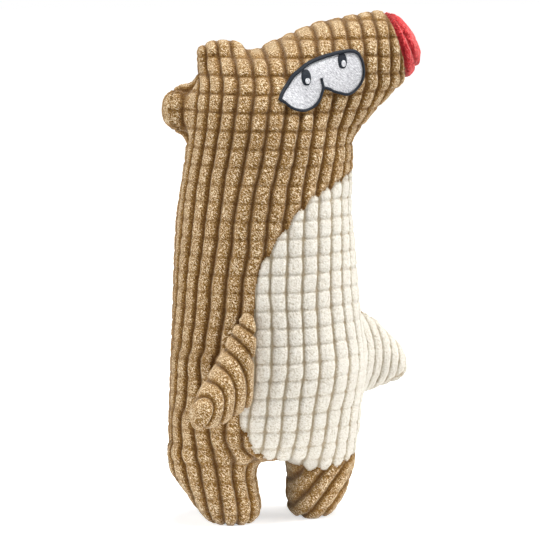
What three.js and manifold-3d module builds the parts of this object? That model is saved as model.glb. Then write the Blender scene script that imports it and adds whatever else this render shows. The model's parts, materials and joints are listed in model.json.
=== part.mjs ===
// A stuffed corduroy dog toy with a squeaker in its belly. Sizes are in millimetres and angles in degrees.
// It stands on the floor at Z = 0 and faces -Y. Left and right are as seen from the front.
import * as THREE from "three";
import { mergeVertices } from "three/addons/utils/BufferGeometryUtils.js";
import Module from "manifold-3d";

const wasm = await Module();
wasm.setup();

// Cloth, thread and clearances
const CLOTH = 3;
const THREAD = 1.2;
const SEAM_GAP = 0.4;
const JOINT_GAP = 0.6;
const FLAT_CUT = 2;

// Heights of the joints, and how far each of them swings
const HIP_HEIGHT = 28;
const NECK_RISE = 172;
const LEG_SWING = 20;
const NECK_SWING = 15;
const ARM_SWING = 22;
const EAR_SWING = 25;
const SWING_SPARE = 4;

// Half the thickness of the neck, legs and ears at their roots
const NECK_ROOT = 36;
const LEG_ROOT = 20;
const EAR_ROOT = 9;

// How far the round root of each member stands out past its two sides
const LEG_OVERHANG = 3;
const ARM_OVERHANG = 2;
const EAR_OVERHANG = 2;

// Torso sections: rise above the hips, sideways shift, width and depth
const TORSO = {
  hips: { rise: 0, shift: 0, width: 98, depth: 46 },
  seat: { rise: 20, shift: 0, width: 107, depth: 66 },
  belly: { rise: 56, shift: 3, width: 106, depth: 79 },
  waist: { rise: 92, shift: 1, width: 102, depth: 79 },
  chest: { rise: 127, shift: 0, width: 98, depth: 76 },
  shoulders: { rise: 168, shift: 2, width: 94, depth: 73 },
  neck: { rise: 180, shift: 2, width: 94, depth: 73 },
};

// Skull sections: rise above the neck joint, sideways shift, width and depth
const SKULL = {
  nape: { rise: -40, shift: -0.7, width: 97.4, depth: 72 },
  jaw: { rise: 0, shift: 3, width: 92, depth: 72 },
  cheeks: { rise: 18, shift: 2.5, width: 88, depth: 71 },
  temples: { rise: 33, shift: -0.5, width: 79, depth: 64 },
  crown: { rise: 45, shift: -4, width: 63, depth: 50 },
};
const CROWN_HEIGHT = 12;

// Snout sections: distance from the body's middle line, rise above the neck joint, height and depth
const SNOUT = {
  root: { reach: 8, rise: 20, height: 76, depth: 62 },
  brow: { reach: 23, rise: 31, height: 72, depth: 60 },
  bridge: { reach: 46, rise: 47.5, height: 58, depth: 50 },
  nose: { reach: 73.5, rise: 61, height: 39, depth: 34 },
};
const NOSE_TIP = 9;
const NOSE_LEAN = 17;
const NOSE_PLACE = new THREE.Vector3(71.5, 0, 60);

// Leg sections: drop below the hip joint, sideways shift, width and depth
const LEFT_LEG = {
  back: -4,
  top: { drop: -14, shift: -30.5, width: 50, depth: 40 },
  hip: { drop: 0, shift: -29.2, width: 48.4, depth: 40 },
  shin: { drop: 13, shift: -23.5, width: 41, depth: 39 },
  foot: { drop: 20, shift: -20.5, width: 38, depth: 36 },
  sole: { drop: 26, shift: -19, width: 31, depth: 33 },
};
const RIGHT_LEG = {
  back: 3,
  top: { drop: -14, shift: 33, width: 40, depth: 40 },
  hip: { drop: 0, shift: 32, width: 39, depth: 40 },
  shin: { drop: 13, shift: 30, width: 35, depth: 38 },
  foot: { drop: 20, shift: 28, width: 31, depth: 35 },
  sole: { drop: 26, shift: 26.5, width: 25, depth: 32 },
};

// Arms: where they leave the torso, which way they point, how thick they are, and their sections along that way
const LEFT_ARM = {
  height: 90,
  seatAngle: -121,
  aimAngle: -145,
  thickness: 20,
  root: { out: -16, drop: -4, height: 50 },
  shoulder: { out: 0, drop: 4, height: 43 },
  elbow: { out: 13, drop: 13, height: 33 },
  paw: { out: 24, drop: 19, height: 22 },
  tip: 9,
};
const RIGHT_ARM = {
  height: 88,
  seatAngle: 14,
  aimAngle: 16,
  thickness: 26,
  root: { out: -16, drop: 0, height: 50 },
  shoulder: { out: 0, drop: 0, height: 48 },
  elbow: { out: 10, drop: 2, height: 39 },
  paw: { out: 18, drop: 5, height: 28 },
  tip: 11,
};

// Share of an arm's thickness that each of its sections has
const ARM_TAPER = [1, 1, 0.9, 0.75];

// Ears: where they leave the skull, which way they point (from level, towards the left), and their sections
const UPPER_EAR = {
  seatAngle: 129,
  aimAngle: 100,
  back: 0,
  root: { out: -12, width: 29, depth: 18 },
  middle: { out: 0, width: 28, depth: 18 },
  rim: { out: 1, width: 26, depth: 17 },
  tip: 3.5,
};
const LOWER_EAR = {
  seatAngle: 181,
  aimAngle: 180,
  back: 6,
  root: { out: -12, width: 30, depth: 18 },
  middle: { out: 0, width: 29, depth: 18 },
  rim: { out: 4, width: 24, depth: 16 },
  tip: 6,
};
const EAR_CENTRE_RISE = 25;

// Squeaker
const SQUEAKER_RISE = 78;
const BULB_RADIUS = 21;
const BULB_WALL = 1.4;
const CUP_DEPTH = 11;
const CUP_BEVEL = 3;
const DOME_DEPTH = 9;
const DOME_CROWN = 0.9;
const DOME_SHOULDER = 3.6;
const PLEAT_LENGTH = 6;
const PLEAT_COUNT = 2;
const PRESS_ROOM = 1.2;
const BARREL_RADIUS = 5;
const BARREL_WALL = 1;
const BARREL_LENGTH = 11;
const REED_LENGTH = 7.5;
const REED_WIDTH = 4.2;
const REED_THICKNESS = 0.4;
const REED_ROOM = 0.3;

// Rounds of the meshes
const BODY_SIDES = 20;
const LIMB_SIDES = 12;
const EAR_SIDES = 10;
const BULB_SIDES = 18;
const ROOT_SIDES = 24;
const RINGS_PER_SECTION = 1;
const DOME_TURNS = [35, 65];
const FAR = 600;

const material = (name, color, roughness) => new THREE.MeshStandardMaterial({ name, color, roughness });
const brownCorduroy = material("brown_corduroy", "#b08a58", 0.95);
const creamCorduroy = material("cream_corduroy", "#efe8da", 0.95);
const redPlush = material("red_plush", "#cf2a30", 0.9);
const whiteThread = material("white_thread", "#e6e6ea", 0.6);
const darkThread = material("dark_thread", "#2b3038", 0.6);
const fibreFill = material("fibre_fill", "#f4f2ee", 1);
const bulbPlastic = material("bulb_plastic", "#e9e4d0", 0.45);
const reedPlastic = material("reed_plastic", "#d8d8d4", 0.4);

const radians = THREE.MathUtils.degToRad;
const vector = (x, y, z) => new THREE.Vector3(x, y, z);

// The solid of any closed geometry
function solid(geometry) {
  const bare = new THREE.BufferGeometry();
  bare.setAttribute("position", geometry.getAttribute("position").clone());
  if (geometry.index) bare.setIndex(geometry.index.clone());
  const whole = mergeVertices(bare, 1e-4);
  return new wasm.Manifold(
    new wasm.Mesh({
      numProp: 3,
      vertProperties: Float32Array.from(whole.getAttribute("position").array),
      triVerts: Uint32Array.from(whole.index.array),
    }),
  );
}

// A named piece from a solid
function piece(name, shape, finish) {
  const { numProp, vertProperties, triVerts } = shape.getMesh();
  const geometry = new THREE.BufferGeometry();
  geometry.setAttribute("position", new THREE.BufferAttribute(Float32Array.from(vertProperties), numProp));
  geometry.setIndex(new THREE.BufferAttribute(Uint32Array.from(triVerts), 1));
  geometry.computeVertexNormals();
  const mesh = new THREE.Mesh(geometry, finish);
  mesh.name = name;
  return mesh;
}

// A stuffed form: rounded sections strung along a smooth line, flat where it starts and domed where it ends.
// Every section is { at, breadth, depth }; `grow` moves the whole surface outwards, except the flat start.
function stuffed(form, grow) {
  const { sections, across, deep, tip, sides } = form;
  const line = new THREE.CatmullRomCurve3(sections.map((section) => section.at));
  const girth = new THREE.CatmullRomCurve3(sections.map((section) => vector(section.breadth, section.depth, 0)));
  const steps = (sections.length - 1) * RINGS_PER_SECTION;
  const rings = [];
  const onward = line.getTangent(1);
  const begin = line.getPoint(0);
  const length = line.getPoint(1).distanceTo(begin) + tip;
  const stretch = (length + grow) / length;
  for (let step = 0; step <= steps; step++) {
    const at = line.getPoint(step / steps).lerp(begin, 1 - stretch);
    rings.push({ at, size: girth.getPoint(step / steps), share: 1 });
  }
  const last = rings.at(-1);
  for (const turn of DOME_TURNS) {
    const at = last.at.clone().addScaledVector(onward, tip * stretch * Math.sin(radians(turn)));
    rings.push({ at, size: last.size, share: Math.cos(radians(turn)) });
  }
  const points = [];
  for (const ring of rings) {
    for (let side = 0; side < sides; side++) {
      const angle = (2 * Math.PI * side) / sides;
      const point = ring.at.clone();
      point.addScaledVector(across, (ring.size.x / 2 + grow) * ring.share * Math.cos(angle));
      point.addScaledVector(deep, (ring.size.y / 2 + grow) * ring.share * Math.sin(angle));
      points.push(point);
    }
  }
  const start = points.push(rings[0].at.clone()) - 1;
  const end = points.push(last.at.clone().addScaledVector(onward, tip * stretch)) - 1;
  const faces = [];
  for (let side = 0; side < sides; side++) {
    const next = (side + 1) % sides;
    faces.push(start, next, side);
    for (let ring = 0; ring < rings.length - 1; ring++) {
      const low = ring * sides;
      const high = low + sides;
      faces.push(low + side, low + next, high + next, low + side, high + next, high + side);
    }
    const top = (rings.length - 1) * sides;
    faces.push(top + side, top + next, end);
  }
  if (across.clone().cross(deep).dot(onward) < 0) faces.reverse();
  const geometry = new THREE.BufferGeometry().setFromPoints(points);
  geometry.setIndex(faces);
  return geometry;
}

// Everything on the far side of a plane
function beyond(point, outward) {
  const block = new THREE.BoxGeometry(FAR, FAR, FAR).translate(0, 0, FAR / 2);
  block.applyQuaternion(new THREE.Quaternion().setFromUnitVectors(vector(0, 0, 1), outward));
  return solid(block.translate(point.x, point.y, point.z));
}

// The round root of a member, lying along its joint's axis
function drum(joint, radius, spare) {
  const roller = new THREE.CylinderGeometry(radius, radius, joint.length + 2 * spare, ROOT_SIDES);
  roller.applyQuaternion(new THREE.Quaternion().setFromUnitVectors(vector(0, 1, 0), joint.axis));
  return solid(roller.translate(joint.at.x, joint.at.y, joint.at.z));
}

// What a member keeps of its form: all that is beyond the joint, and its round root
const reachOf = (joint) => beyond(joint.at, joint.outward).add(drum(joint, joint.root, 0));

// What its neighbour gives up for the root to turn in
const socketOf = (joint) => drum(joint, joint.root + JOINT_GAP, JOINT_GAP);

// How far the edge of the neighbour stays behind the joint, so that the member can swing
const standOff = (root, swing) => root * Math.sin(radians(swing + SWING_SPARE));

// Where a ray from inside a form leaves it
function surfacePoint(geometry, from, way) {
  const mesh = new THREE.Mesh(geometry, new THREE.MeshBasicMaterial({ side: THREE.DoubleSide }));
  const hits = new THREE.Raycaster(from, way).intersectObject(mesh);
  return hits.at(-1).point;
}

// A cloth cover in two halves round its filling, from the solids of its outside, inside and filling
function halves(cover, seamPoint, backward) {
  const half = backward.clone().multiplyScalar(SEAM_GAP / 2);
  const back = cover.intersect(beyond(seamPoint.clone().add(half), backward));
  const front = cover.intersect(beyond(seamPoint.clone().sub(half), backward.clone().negate()));
  return { front, back };
}

// A group of pieces whose origin is on the joint that they turn about
function member(name, at, meshes) {
  const group = new THREE.Group();
  group.name = name;
  group.position.copy(at);
  for (const mesh of meshes) {
    mesh.geometry.translate(-at.x, -at.y, -at.z);
    group.add(mesh);
  }
  return group;
}

const RIGHT = vector(1, 0, 0);
const BACK = vector(0, 1, 0);
const UP = vector(0, 0, 1);
const DOWN = vector(0, 0, -1);
const filling = -CLOTH - SEAM_GAP;
const neckHeight = HIP_HEIGHT + NECK_RISE;

// Forms of the torso and the head
const torsoForm = {
  sections: Object.values(TORSO).map(({ rise, shift, width, depth }) => {
    return { at: vector(shift, 0, HIP_HEIGHT + rise), breadth: width, depth };
  }),
  across: RIGHT,
  deep: BACK,
  tip: 2 * CLOTH,
  sides: BODY_SIDES,
};
const skullForm = {
  sections: Object.values(SKULL).map(({ rise, shift, width, depth }) => {
    return { at: vector(shift, 0, neckHeight + rise), breadth: width, depth };
  }),
  across: RIGHT,
  deep: BACK,
  tip: CROWN_HEIGHT,
  sides: BODY_SIDES,
};
const snoutLine = Object.values(SNOUT).map(({ reach, rise }) => vector(reach, 0, neckHeight + rise));
const snoutWay = snoutLine.at(-1).clone().sub(snoutLine[0]).normalize();
const snoutForm = {
  sections: Object.values(SNOUT).map(({ height, depth }, index) => {
    return { at: snoutLine[index], breadth: height, depth };
  }),
  across: vector(-snoutWay.z, 0, snoutWay.x),
  deep: BACK,
  tip: NOSE_TIP,
  sides: BODY_SIDES - 4,
};
const headSolid = (grow) => solid(stuffed(skullForm, grow)).add(solid(stuffed(snoutForm, grow)));

// Joints that lie between the torso and its neighbours
const neck = {
  at: vector(0, 0, neckHeight),
  axis: RIGHT,
  outward: UP,
  root: NECK_ROOT,
  length: FAR,
};
const neckRim = neckHeight - standOff(NECK_ROOT, NECK_SWING);
const hipRim = HIP_HEIGHT + standOff(LEG_ROOT, LEG_SWING);

function makeLeg(leg) {
  const { top, hip, shin, foot, sole } = leg;
  const sections = [top, hip, shin, foot, sole];
  const widest = Math.max(...sections.map((section) => section.width));
  const form = {
    sections: sections.map(({ drop, shift, width, depth }) => {
      return { at: vector(shift, leg.back, HIP_HEIGHT - drop), breadth: width, depth };
    }),
    across: RIGHT,
    deep: BACK,
    tip: HIP_HEIGHT - sole.drop + FLAT_CUT,
    sides: LIMB_SIDES,
  };
  const joint = {
    at: vector(hip.shift, leg.back, HIP_HEIGHT),
    axis: RIGHT,
    outward: DOWN,
    root: LEG_ROOT,
    length: widest + 2 * LEG_OVERHANG,
  };
  return { form, joint, seamPoint: joint.at, backward: BACK };
}

function makeArm(arm) {
  const from = vector(0, 0, arm.height);
  const seatWay = vector(Math.cos(radians(arm.seatAngle)), Math.sin(radians(arm.seatAngle)), 0);
  const outward = vector(Math.cos(radians(arm.aimAngle)), Math.sin(radians(arm.aimAngle)), 0);
  const seat = surfacePoint(stuffed(torsoForm, 0), from, seatWay);
  const root = arm.thickness / 2;
  const at = seat.addScaledVector(seatWay, standOff(root, ARM_SWING));
  const sideways = outward.clone().cross(UP);
  const form = {
    sections: [arm.root, arm.shoulder, arm.elbow, arm.paw].map(({ out, drop, height }, index) => {
      const middle = at.clone().addScaledVector(outward, out).addScaledVector(UP, -drop);
      return { at: middle, breadth: height, depth: arm.thickness * ARM_TAPER[index] };
    }),
    across: UP,
    deep: sideways,
    tip: arm.tip,
    sides: LIMB_SIDES,
  };
  const joint = { at, axis: UP, outward, root, length: arm.root.height + 2 * ARM_OVERHANG };
  const backward = sideways.y > 0 ? sideways : sideways.clone().negate();
  return { form, joint, seamPoint: at, backward };
}

function makeEar(ear) {
  const from = vector(0, 0, neckHeight + EAR_CENTRE_RISE);
  const seatWay = vector(Math.cos(radians(ear.seatAngle)), 0, Math.sin(radians(ear.seatAngle)));
  const outward = vector(Math.cos(radians(ear.aimAngle)), 0, Math.sin(radians(ear.aimAngle)));
  const seat = surfacePoint(stuffed(skullForm, 0), from, seatWay);
  const at = seat.addScaledVector(outward, standOff(EAR_ROOT, EAR_SWING)).addScaledVector(BACK, ear.back);
  const along = vector(-outward.z, 0, outward.x);
  const form = {
    sections: [ear.root, ear.middle, ear.rim].map(({ out, width, depth }) => {
      return { at: at.clone().addScaledVector(outward, out), breadth: width, depth };
    }),
    across: along,
    deep: BACK,
    tip: ear.tip,
    sides: EAR_SIDES,
  };
  const joint = { at, axis: along, outward, root: EAR_ROOT, length: ear.root.width + 2 * EAR_OVERHANG };
  return { form, joint, seamPoint: at, backward: BACK };
}

const legs = { leg_left: makeLeg(LEFT_LEG), leg_right: makeLeg(RIGHT_LEG) };
const arms = { arm_left: makeArm(LEFT_ARM), arm_right: makeArm(RIGHT_ARM) };
const ears = { ear_upper: makeEar(UPPER_EAR), ear_lower: makeEar(LOWER_EAR) };

// Torso: front panel, cream belly panel and back panel round a filling that holds the squeaker
const torsoEnds = beyond(vector(0, 0, neckRim), UP).add(beyond(vector(0, 0, hipRim), DOWN));
const limbs = [...Object.values(legs), ...Object.values(arms)];
const torsoRoom = limbs.reduce((room, limb) => room.add(socketOf(limb.joint)), torsoEnds.add(socketOf(neck)));
const torsoCover = solid(stuffed(torsoForm, 0)).subtract(solid(stuffed(torsoForm, -CLOTH))).subtract(torsoRoom);
const torsoHalves = halves(torsoCover, vector(0, 0, 0), BACK);

// Outline of the cream belly as seen from the front, from its top by the right seam round its left side
const BELLY_EDGE = {
  top: { side: 44, height: 188 },
  collar: { side: 27, height: 178 },
  breast: { side: 10, height: 166 },
  ribs: { side: -8, height: 145 },
  side: { side: -16, height: 121 },
  flank: { side: -18, height: 84 },
  hip: { side: -18, height: 62 },
  thigh: { side: -12, height: 48 },
  groin: { side: -2, height: 38 },
  bottom: { side: 10, height: 30 },
};

function bellyPrism(grow) {
  const outline = new THREE.Shape();
  const { top, bottom } = BELLY_EDGE;
  const edge = Object.values(BELLY_EDGE).slice(1);
  outline.moveTo(FAR, top.height + grow);
  outline.lineTo(top.side, top.height + grow);
  outline.splineThru(edge.map(({ side, height }) => new THREE.Vector2(side - grow, height)));
  outline.lineTo(FAR, bottom.height);
  const prism = new THREE.ExtrudeGeometry(outline, { depth: FAR, bevelEnabled: false, curveSegments: 18 });
  return solid(prism.rotateX(Math.PI / 2));
}

const squeakerAt = vector(0, 0, HIP_HEIGHT + SQUEAKER_RISE);
const bulbFront = -PLEAT_LENGTH / 2 - DOME_DEPTH;
const bulbBack = PLEAT_LENGTH / 2 + CUP_DEPTH;
const pocketFront = bulbFront - PRESS_ROOM;
const pocketBack = bulbBack - BULB_WALL + BARREL_LENGTH / 2 + PRESS_ROOM;
const pocketSize = BULB_RADIUS + PRESS_ROOM;
const pocket = solid(
  new THREE.CylinderGeometry(pocketSize, pocketSize, pocketBack - pocketFront, BULB_SIDES).translate(
    squeakerAt.x,
    (pocketFront + pocketBack) / 2,
    squeakerAt.z,
  ),
);
const torsoFill = solid(stuffed(torsoForm, filling)).subtract(torsoRoom).subtract(pocket);
const torsoFillHalves = halves(torsoFill, vector(0, 0, 0), BACK);
const torso = [
  piece("torso_front_panel", torsoHalves.front.subtract(bellyPrism(SEAM_GAP)), brownCorduroy),
  piece("belly_panel", torsoHalves.front.intersect(bellyPrism(0)), creamCorduroy),
  piece("torso_back_panel", torsoHalves.back, brownCorduroy),
  piece("torso_front_filling", torsoFillHalves.front, fibreFill),
  piece("torso_back_filling", torsoFillHalves.back, fibreFill),
];

// Squeaker: a cup, a pleated ring and a dome on one line from back to front, with a reed in the cup's floor
const turned = (profile) => {
  const outline = [...profile, profile[0]].map(([radius, along]) => new THREE.Vector2(radius, along));
  const lathe = new THREE.LatheGeometry(outline, BULB_SIDES);
  return solid(lathe).translate(squeakerAt.toArray());
};
const holeRadius = BARREL_RADIUS + SEAM_GAP;
const cupInside = BULB_RADIUS - BULB_WALL;
const cupRim = PLEAT_LENGTH / 2;
const cup = turned([
  [holeRadius, bulbBack - BULB_WALL],
  [cupInside - CUP_BEVEL, bulbBack - BULB_WALL],
  [cupInside, bulbBack - BULB_WALL - CUP_BEVEL],
  [cupInside, cupRim],
  [BULB_RADIUS, cupRim],
  [BULB_RADIUS, bulbBack - CUP_BEVEL],
  [BULB_RADIUS - CUP_BEVEL, bulbBack],
  [holeRadius, bulbBack],
]);
const domeRadius = cupInside - PRESS_ROOM;
const domeRim = -PLEAT_LENGTH / 2;
const dome = turned([
  [0, bulbFront],
  [domeRadius * 0.55, bulbFront + DOME_CROWN],
  [domeRadius * 0.88, bulbFront + DOME_SHOULDER],
  [domeRadius, domeRim],
  [domeRadius - BULB_WALL, domeRim],
  [domeRadius * 0.88 - BULB_WALL, bulbFront + DOME_SHOULDER + BULB_WALL],
  [domeRadius * 0.55, bulbFront + DOME_CROWN + BULB_WALL],
  [0, bulbFront + BULB_WALL],
]);
const pleatStart = domeRim + SEAM_GAP;
const pleatEnd = cupRim - SEAM_GAP;
const pleatPitch = (pleatEnd - pleatStart) / (2 * PLEAT_COUNT);
const folds = Array.from({ length: 2 * PLEAT_COUNT + 1 }, (_, fold) => {
  const radius = fold % 2 ? BULB_RADIUS : domeRadius - BULB_WALL;
  return [radius, pleatStart + fold * pleatPitch];
});
const bellows = turned([
  ...folds.map(([radius, along]) => [radius + BULB_WALL / 2 - SEAM_GAP / 2, along]),
  ...folds.map(([radius, along]) => [radius - BULB_WALL / 2, along]).reverse(),
]);
const barrelEnd = bulbBack - BULB_WALL + BARREL_LENGTH / 2;
const barrelStart = barrelEnd - BARREL_LENGTH;
const boreRadius = BARREL_RADIUS - BARREL_WALL;
const barrel = turned([
  [boreRadius, barrelStart],
  [BARREL_RADIUS, barrelStart],
  [BARREL_RADIUS, barrelEnd],
  [boreRadius, barrelEnd],
]);
const reedRootAt = vector(squeakerAt.x, barrelStart + REED_ROOM, squeakerAt.z);
const reedTravel = REED_LENGTH * Math.sin(radians(6));
const plugFlat = -REED_THICKNESS / 2 - REED_ROOM - reedTravel;
const plug = turned([
  [0, barrelStart],
  [boreRadius - REED_ROOM, barrelStart],
  [boreRadius - REED_ROOM, barrelEnd],
  [0, barrelEnd],
]).intersect(beyond(vector(0, 0, squeakerAt.z + plugFlat), DOWN));
const reed = solid(
  new THREE.BoxGeometry(REED_WIDTH, REED_LENGTH, REED_THICKNESS).translate(
    reedRootAt.x,
    reedRootAt.y + REED_LENGTH / 2,
    reedRootAt.z,
  ),
);
const squeaker = [
  piece("squeaker_cup", cup, bulbPlastic),
  piece("squeaker_pleats", bellows, bulbPlastic),
  piece("reed_barrel", barrel, reedPlastic),
  piece("reed_plug", plug, reedPlastic),
];
const squeakerPress = member("squeaker_press", squeakerAt, [piece("squeaker_dome", dome, bulbPlastic)]);
const reedGroup = member("reed", reedRootAt, [piece("reed_tongue", reed, reedPlastic)]);

// Head: two panels, a red nose in two halves and a filling; the ears turn in its sides
const headRoom = Object.values(ears).reduce((room, ear) => room.add(socketOf(ear.joint)), beyond(vector(0, 0, -FAR), DOWN));
const headReach = reachOf(neck);
const headCover = headSolid(0).subtract(headSolid(-CLOTH)).intersect(headReach).subtract(headRoom);
const headHalves = halves(headCover, vector(0, 0, 0), BACK);
const noseWay = vector(Math.cos(radians(NOSE_LEAN)), 0, Math.sin(radians(NOSE_LEAN)));
const noseAt = NOSE_PLACE.clone().addScaledVector(UP, neckHeight);
const noseRegion = beyond(noseAt, noseWay);
const faceRegion = beyond(noseAt.clone().addScaledVector(noseWay, -SEAM_GAP), noseWay.clone().negate());

// Outlines of the embroidered eyes as seen from the front: distance from the middle line, rise above the neck
const EYES_OUTER = {
  corner: { side: 2.4, rise: 32.2 },
  lidStart: { side: 6.5, rise: 39.3 },
  lidLow: { side: 13, rise: 46.8 },
  lidMiddle: { side: 23, rise: 53 },
  lidHigh: { side: 35, rise: 56.4 },
  lidEnd: { side: 43.5, rise: 57.2 },
  outerTop: { side: 48.3, rise: 53 },
  outerSide: { side: 49.7, rise: 45.7 },
  outerLow: { side: 46.6, rise: 37.8 },
  rightBottom: { side: 40.1, rise: 33.6 },
  rightInner: { side: 33, rise: 35.4 },
  notch: { side: 26.6, rise: 37.8 },
  leftInner: { side: 24.3, rise: 31.7 },
  leftLow: { side: 20.5, rise: 27.5 },
  leftBottom: { side: 14.5, rise: 25.9 },
  leftOuter: { side: 7.2, rise: 28 },
};
const EYE_BORDER = 1.9;
const PUPIL_WIDTH = 5;
const PUPIL_LENGTH = 7.5;
const PUPILS = { pupil_left: { side: 17.5, rise: 42.6 }, pupil_right: { side: 37.5, rise: 50.8 } };

const threadLayer = headSolid(SEAM_GAP + THREAD).subtract(headSolid(SEAM_GAP));

function stitchArea(outline) {
  const prism = new THREE.ExtrudeGeometry(outline, { depth: FAR, bevelEnabled: false, curveSegments: 8 });
  return solid(prism.rotateX(Math.PI / 2).translate(0, 0, neckHeight));
}

// The eye outline, drawn in towards its own middle line by `inset`
function eyeShape(inset) {
  const points = Object.values(EYES_OUTER).map(({ side, rise }) => new THREE.Vector2(side, rise));
  const drawn = points.map((point, index) => {
    const before = points.at(index - 1);
    const after = points[(index + 1) % points.length];
    const along = after.clone().sub(before).normalize();
    return new THREE.Vector2(point.x + along.y * inset, point.y - along.x * inset);
  });
  return new THREE.Shape(drawn);
}

function pupilShape({ side, rise }, grow) {
  const shape = new THREE.Shape();
  shape.absellipse(side, rise, PUPIL_WIDTH / 2 + grow, PUPIL_LENGTH / 2 + grow, 0, 2 * Math.PI);
  return shape;
}

const pupilRooms = Object.values(PUPILS).map((place) => stitchArea(pupilShape(place, SEAM_GAP)));
const withoutPupils = (area) => pupilRooms.reduce((rest, room) => rest.subtract(room), area);
const eyeField = withoutPupils(stitchArea(eyeShape(EYE_BORDER + SEAM_GAP)));
const eyeBorder = withoutPupils(stitchArea(eyeShape(0)).subtract(stitchArea(eyeShape(EYE_BORDER))));
const pupils = Object.entries(PUPILS).map(([name, place]) => {
  return piece(name, threadLayer.intersect(stitchArea(pupilShape(place, 0))), darkThread);
});
const head = member("head", neck.at, [
  piece("head_front_panel", headHalves.front.intersect(faceRegion), brownCorduroy),
  piece("head_back_panel", headHalves.back.intersect(faceRegion), brownCorduroy),
  piece("nose_front_panel", headHalves.front.intersect(noseRegion), redPlush),
  piece("nose_back_panel", headHalves.back.intersect(noseRegion), redPlush),
  piece("head_filling", headSolid(filling).intersect(headReach).subtract(headRoom), fibreFill),
  piece("eye_whites", threadLayer.intersect(eyeField), whiteThread),
  piece("eye_outline", threadLayer.intersect(eyeBorder), darkThread),
  ...pupils,
]);

// Ears, arms and legs: each a cover in two halves round a filling, cut off square at the floor
const aboveFloor = beyond(vector(0, 0, 0), UP);

function stuffedMember(name, { form, joint, seamPoint, backward }, frontFinish, backFinish) {
  const reach = reachOf(joint).intersect(aboveFloor);
  const cover = solid(stuffed(form, 0)).subtract(solid(stuffed(form, -CLOTH))).intersect(reach);
  const inside = solid(stuffed(form, filling)).intersect(reach);
  const { front, back } = halves(cover, seamPoint, backward);
  return member(name, joint.at, [
    piece(`${name}_front_panel`, front, frontFinish),
    piece(`${name}_back_panel`, back, backFinish),
    piece(`${name}_filling`, inside, fibreFill),
  ]);
}

// The whole toy, with its origin on the floor in the middle of its own box
const toy = new THREE.Group();
toy.name = "squeaky_dog_toy";
toy.add(...torso, ...squeaker, squeakerPress, reedGroup, head);
for (const [name, limb] of Object.entries({ ...ears, ...legs, ...arms })) {
  const frontFinish = name === "arm_right" ? creamCorduroy : brownCorduroy;
  toy.add(stuffedMember(name, limb, frontFinish, brownCorduroy));
}
const box = new THREE.Box3().setFromObject(toy);
toy.position.set(-(box.min.x + box.max.x) / 2, -(box.min.y + box.max.y) / 2, -box.min.z);

export default toy;
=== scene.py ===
import json
import math

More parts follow.
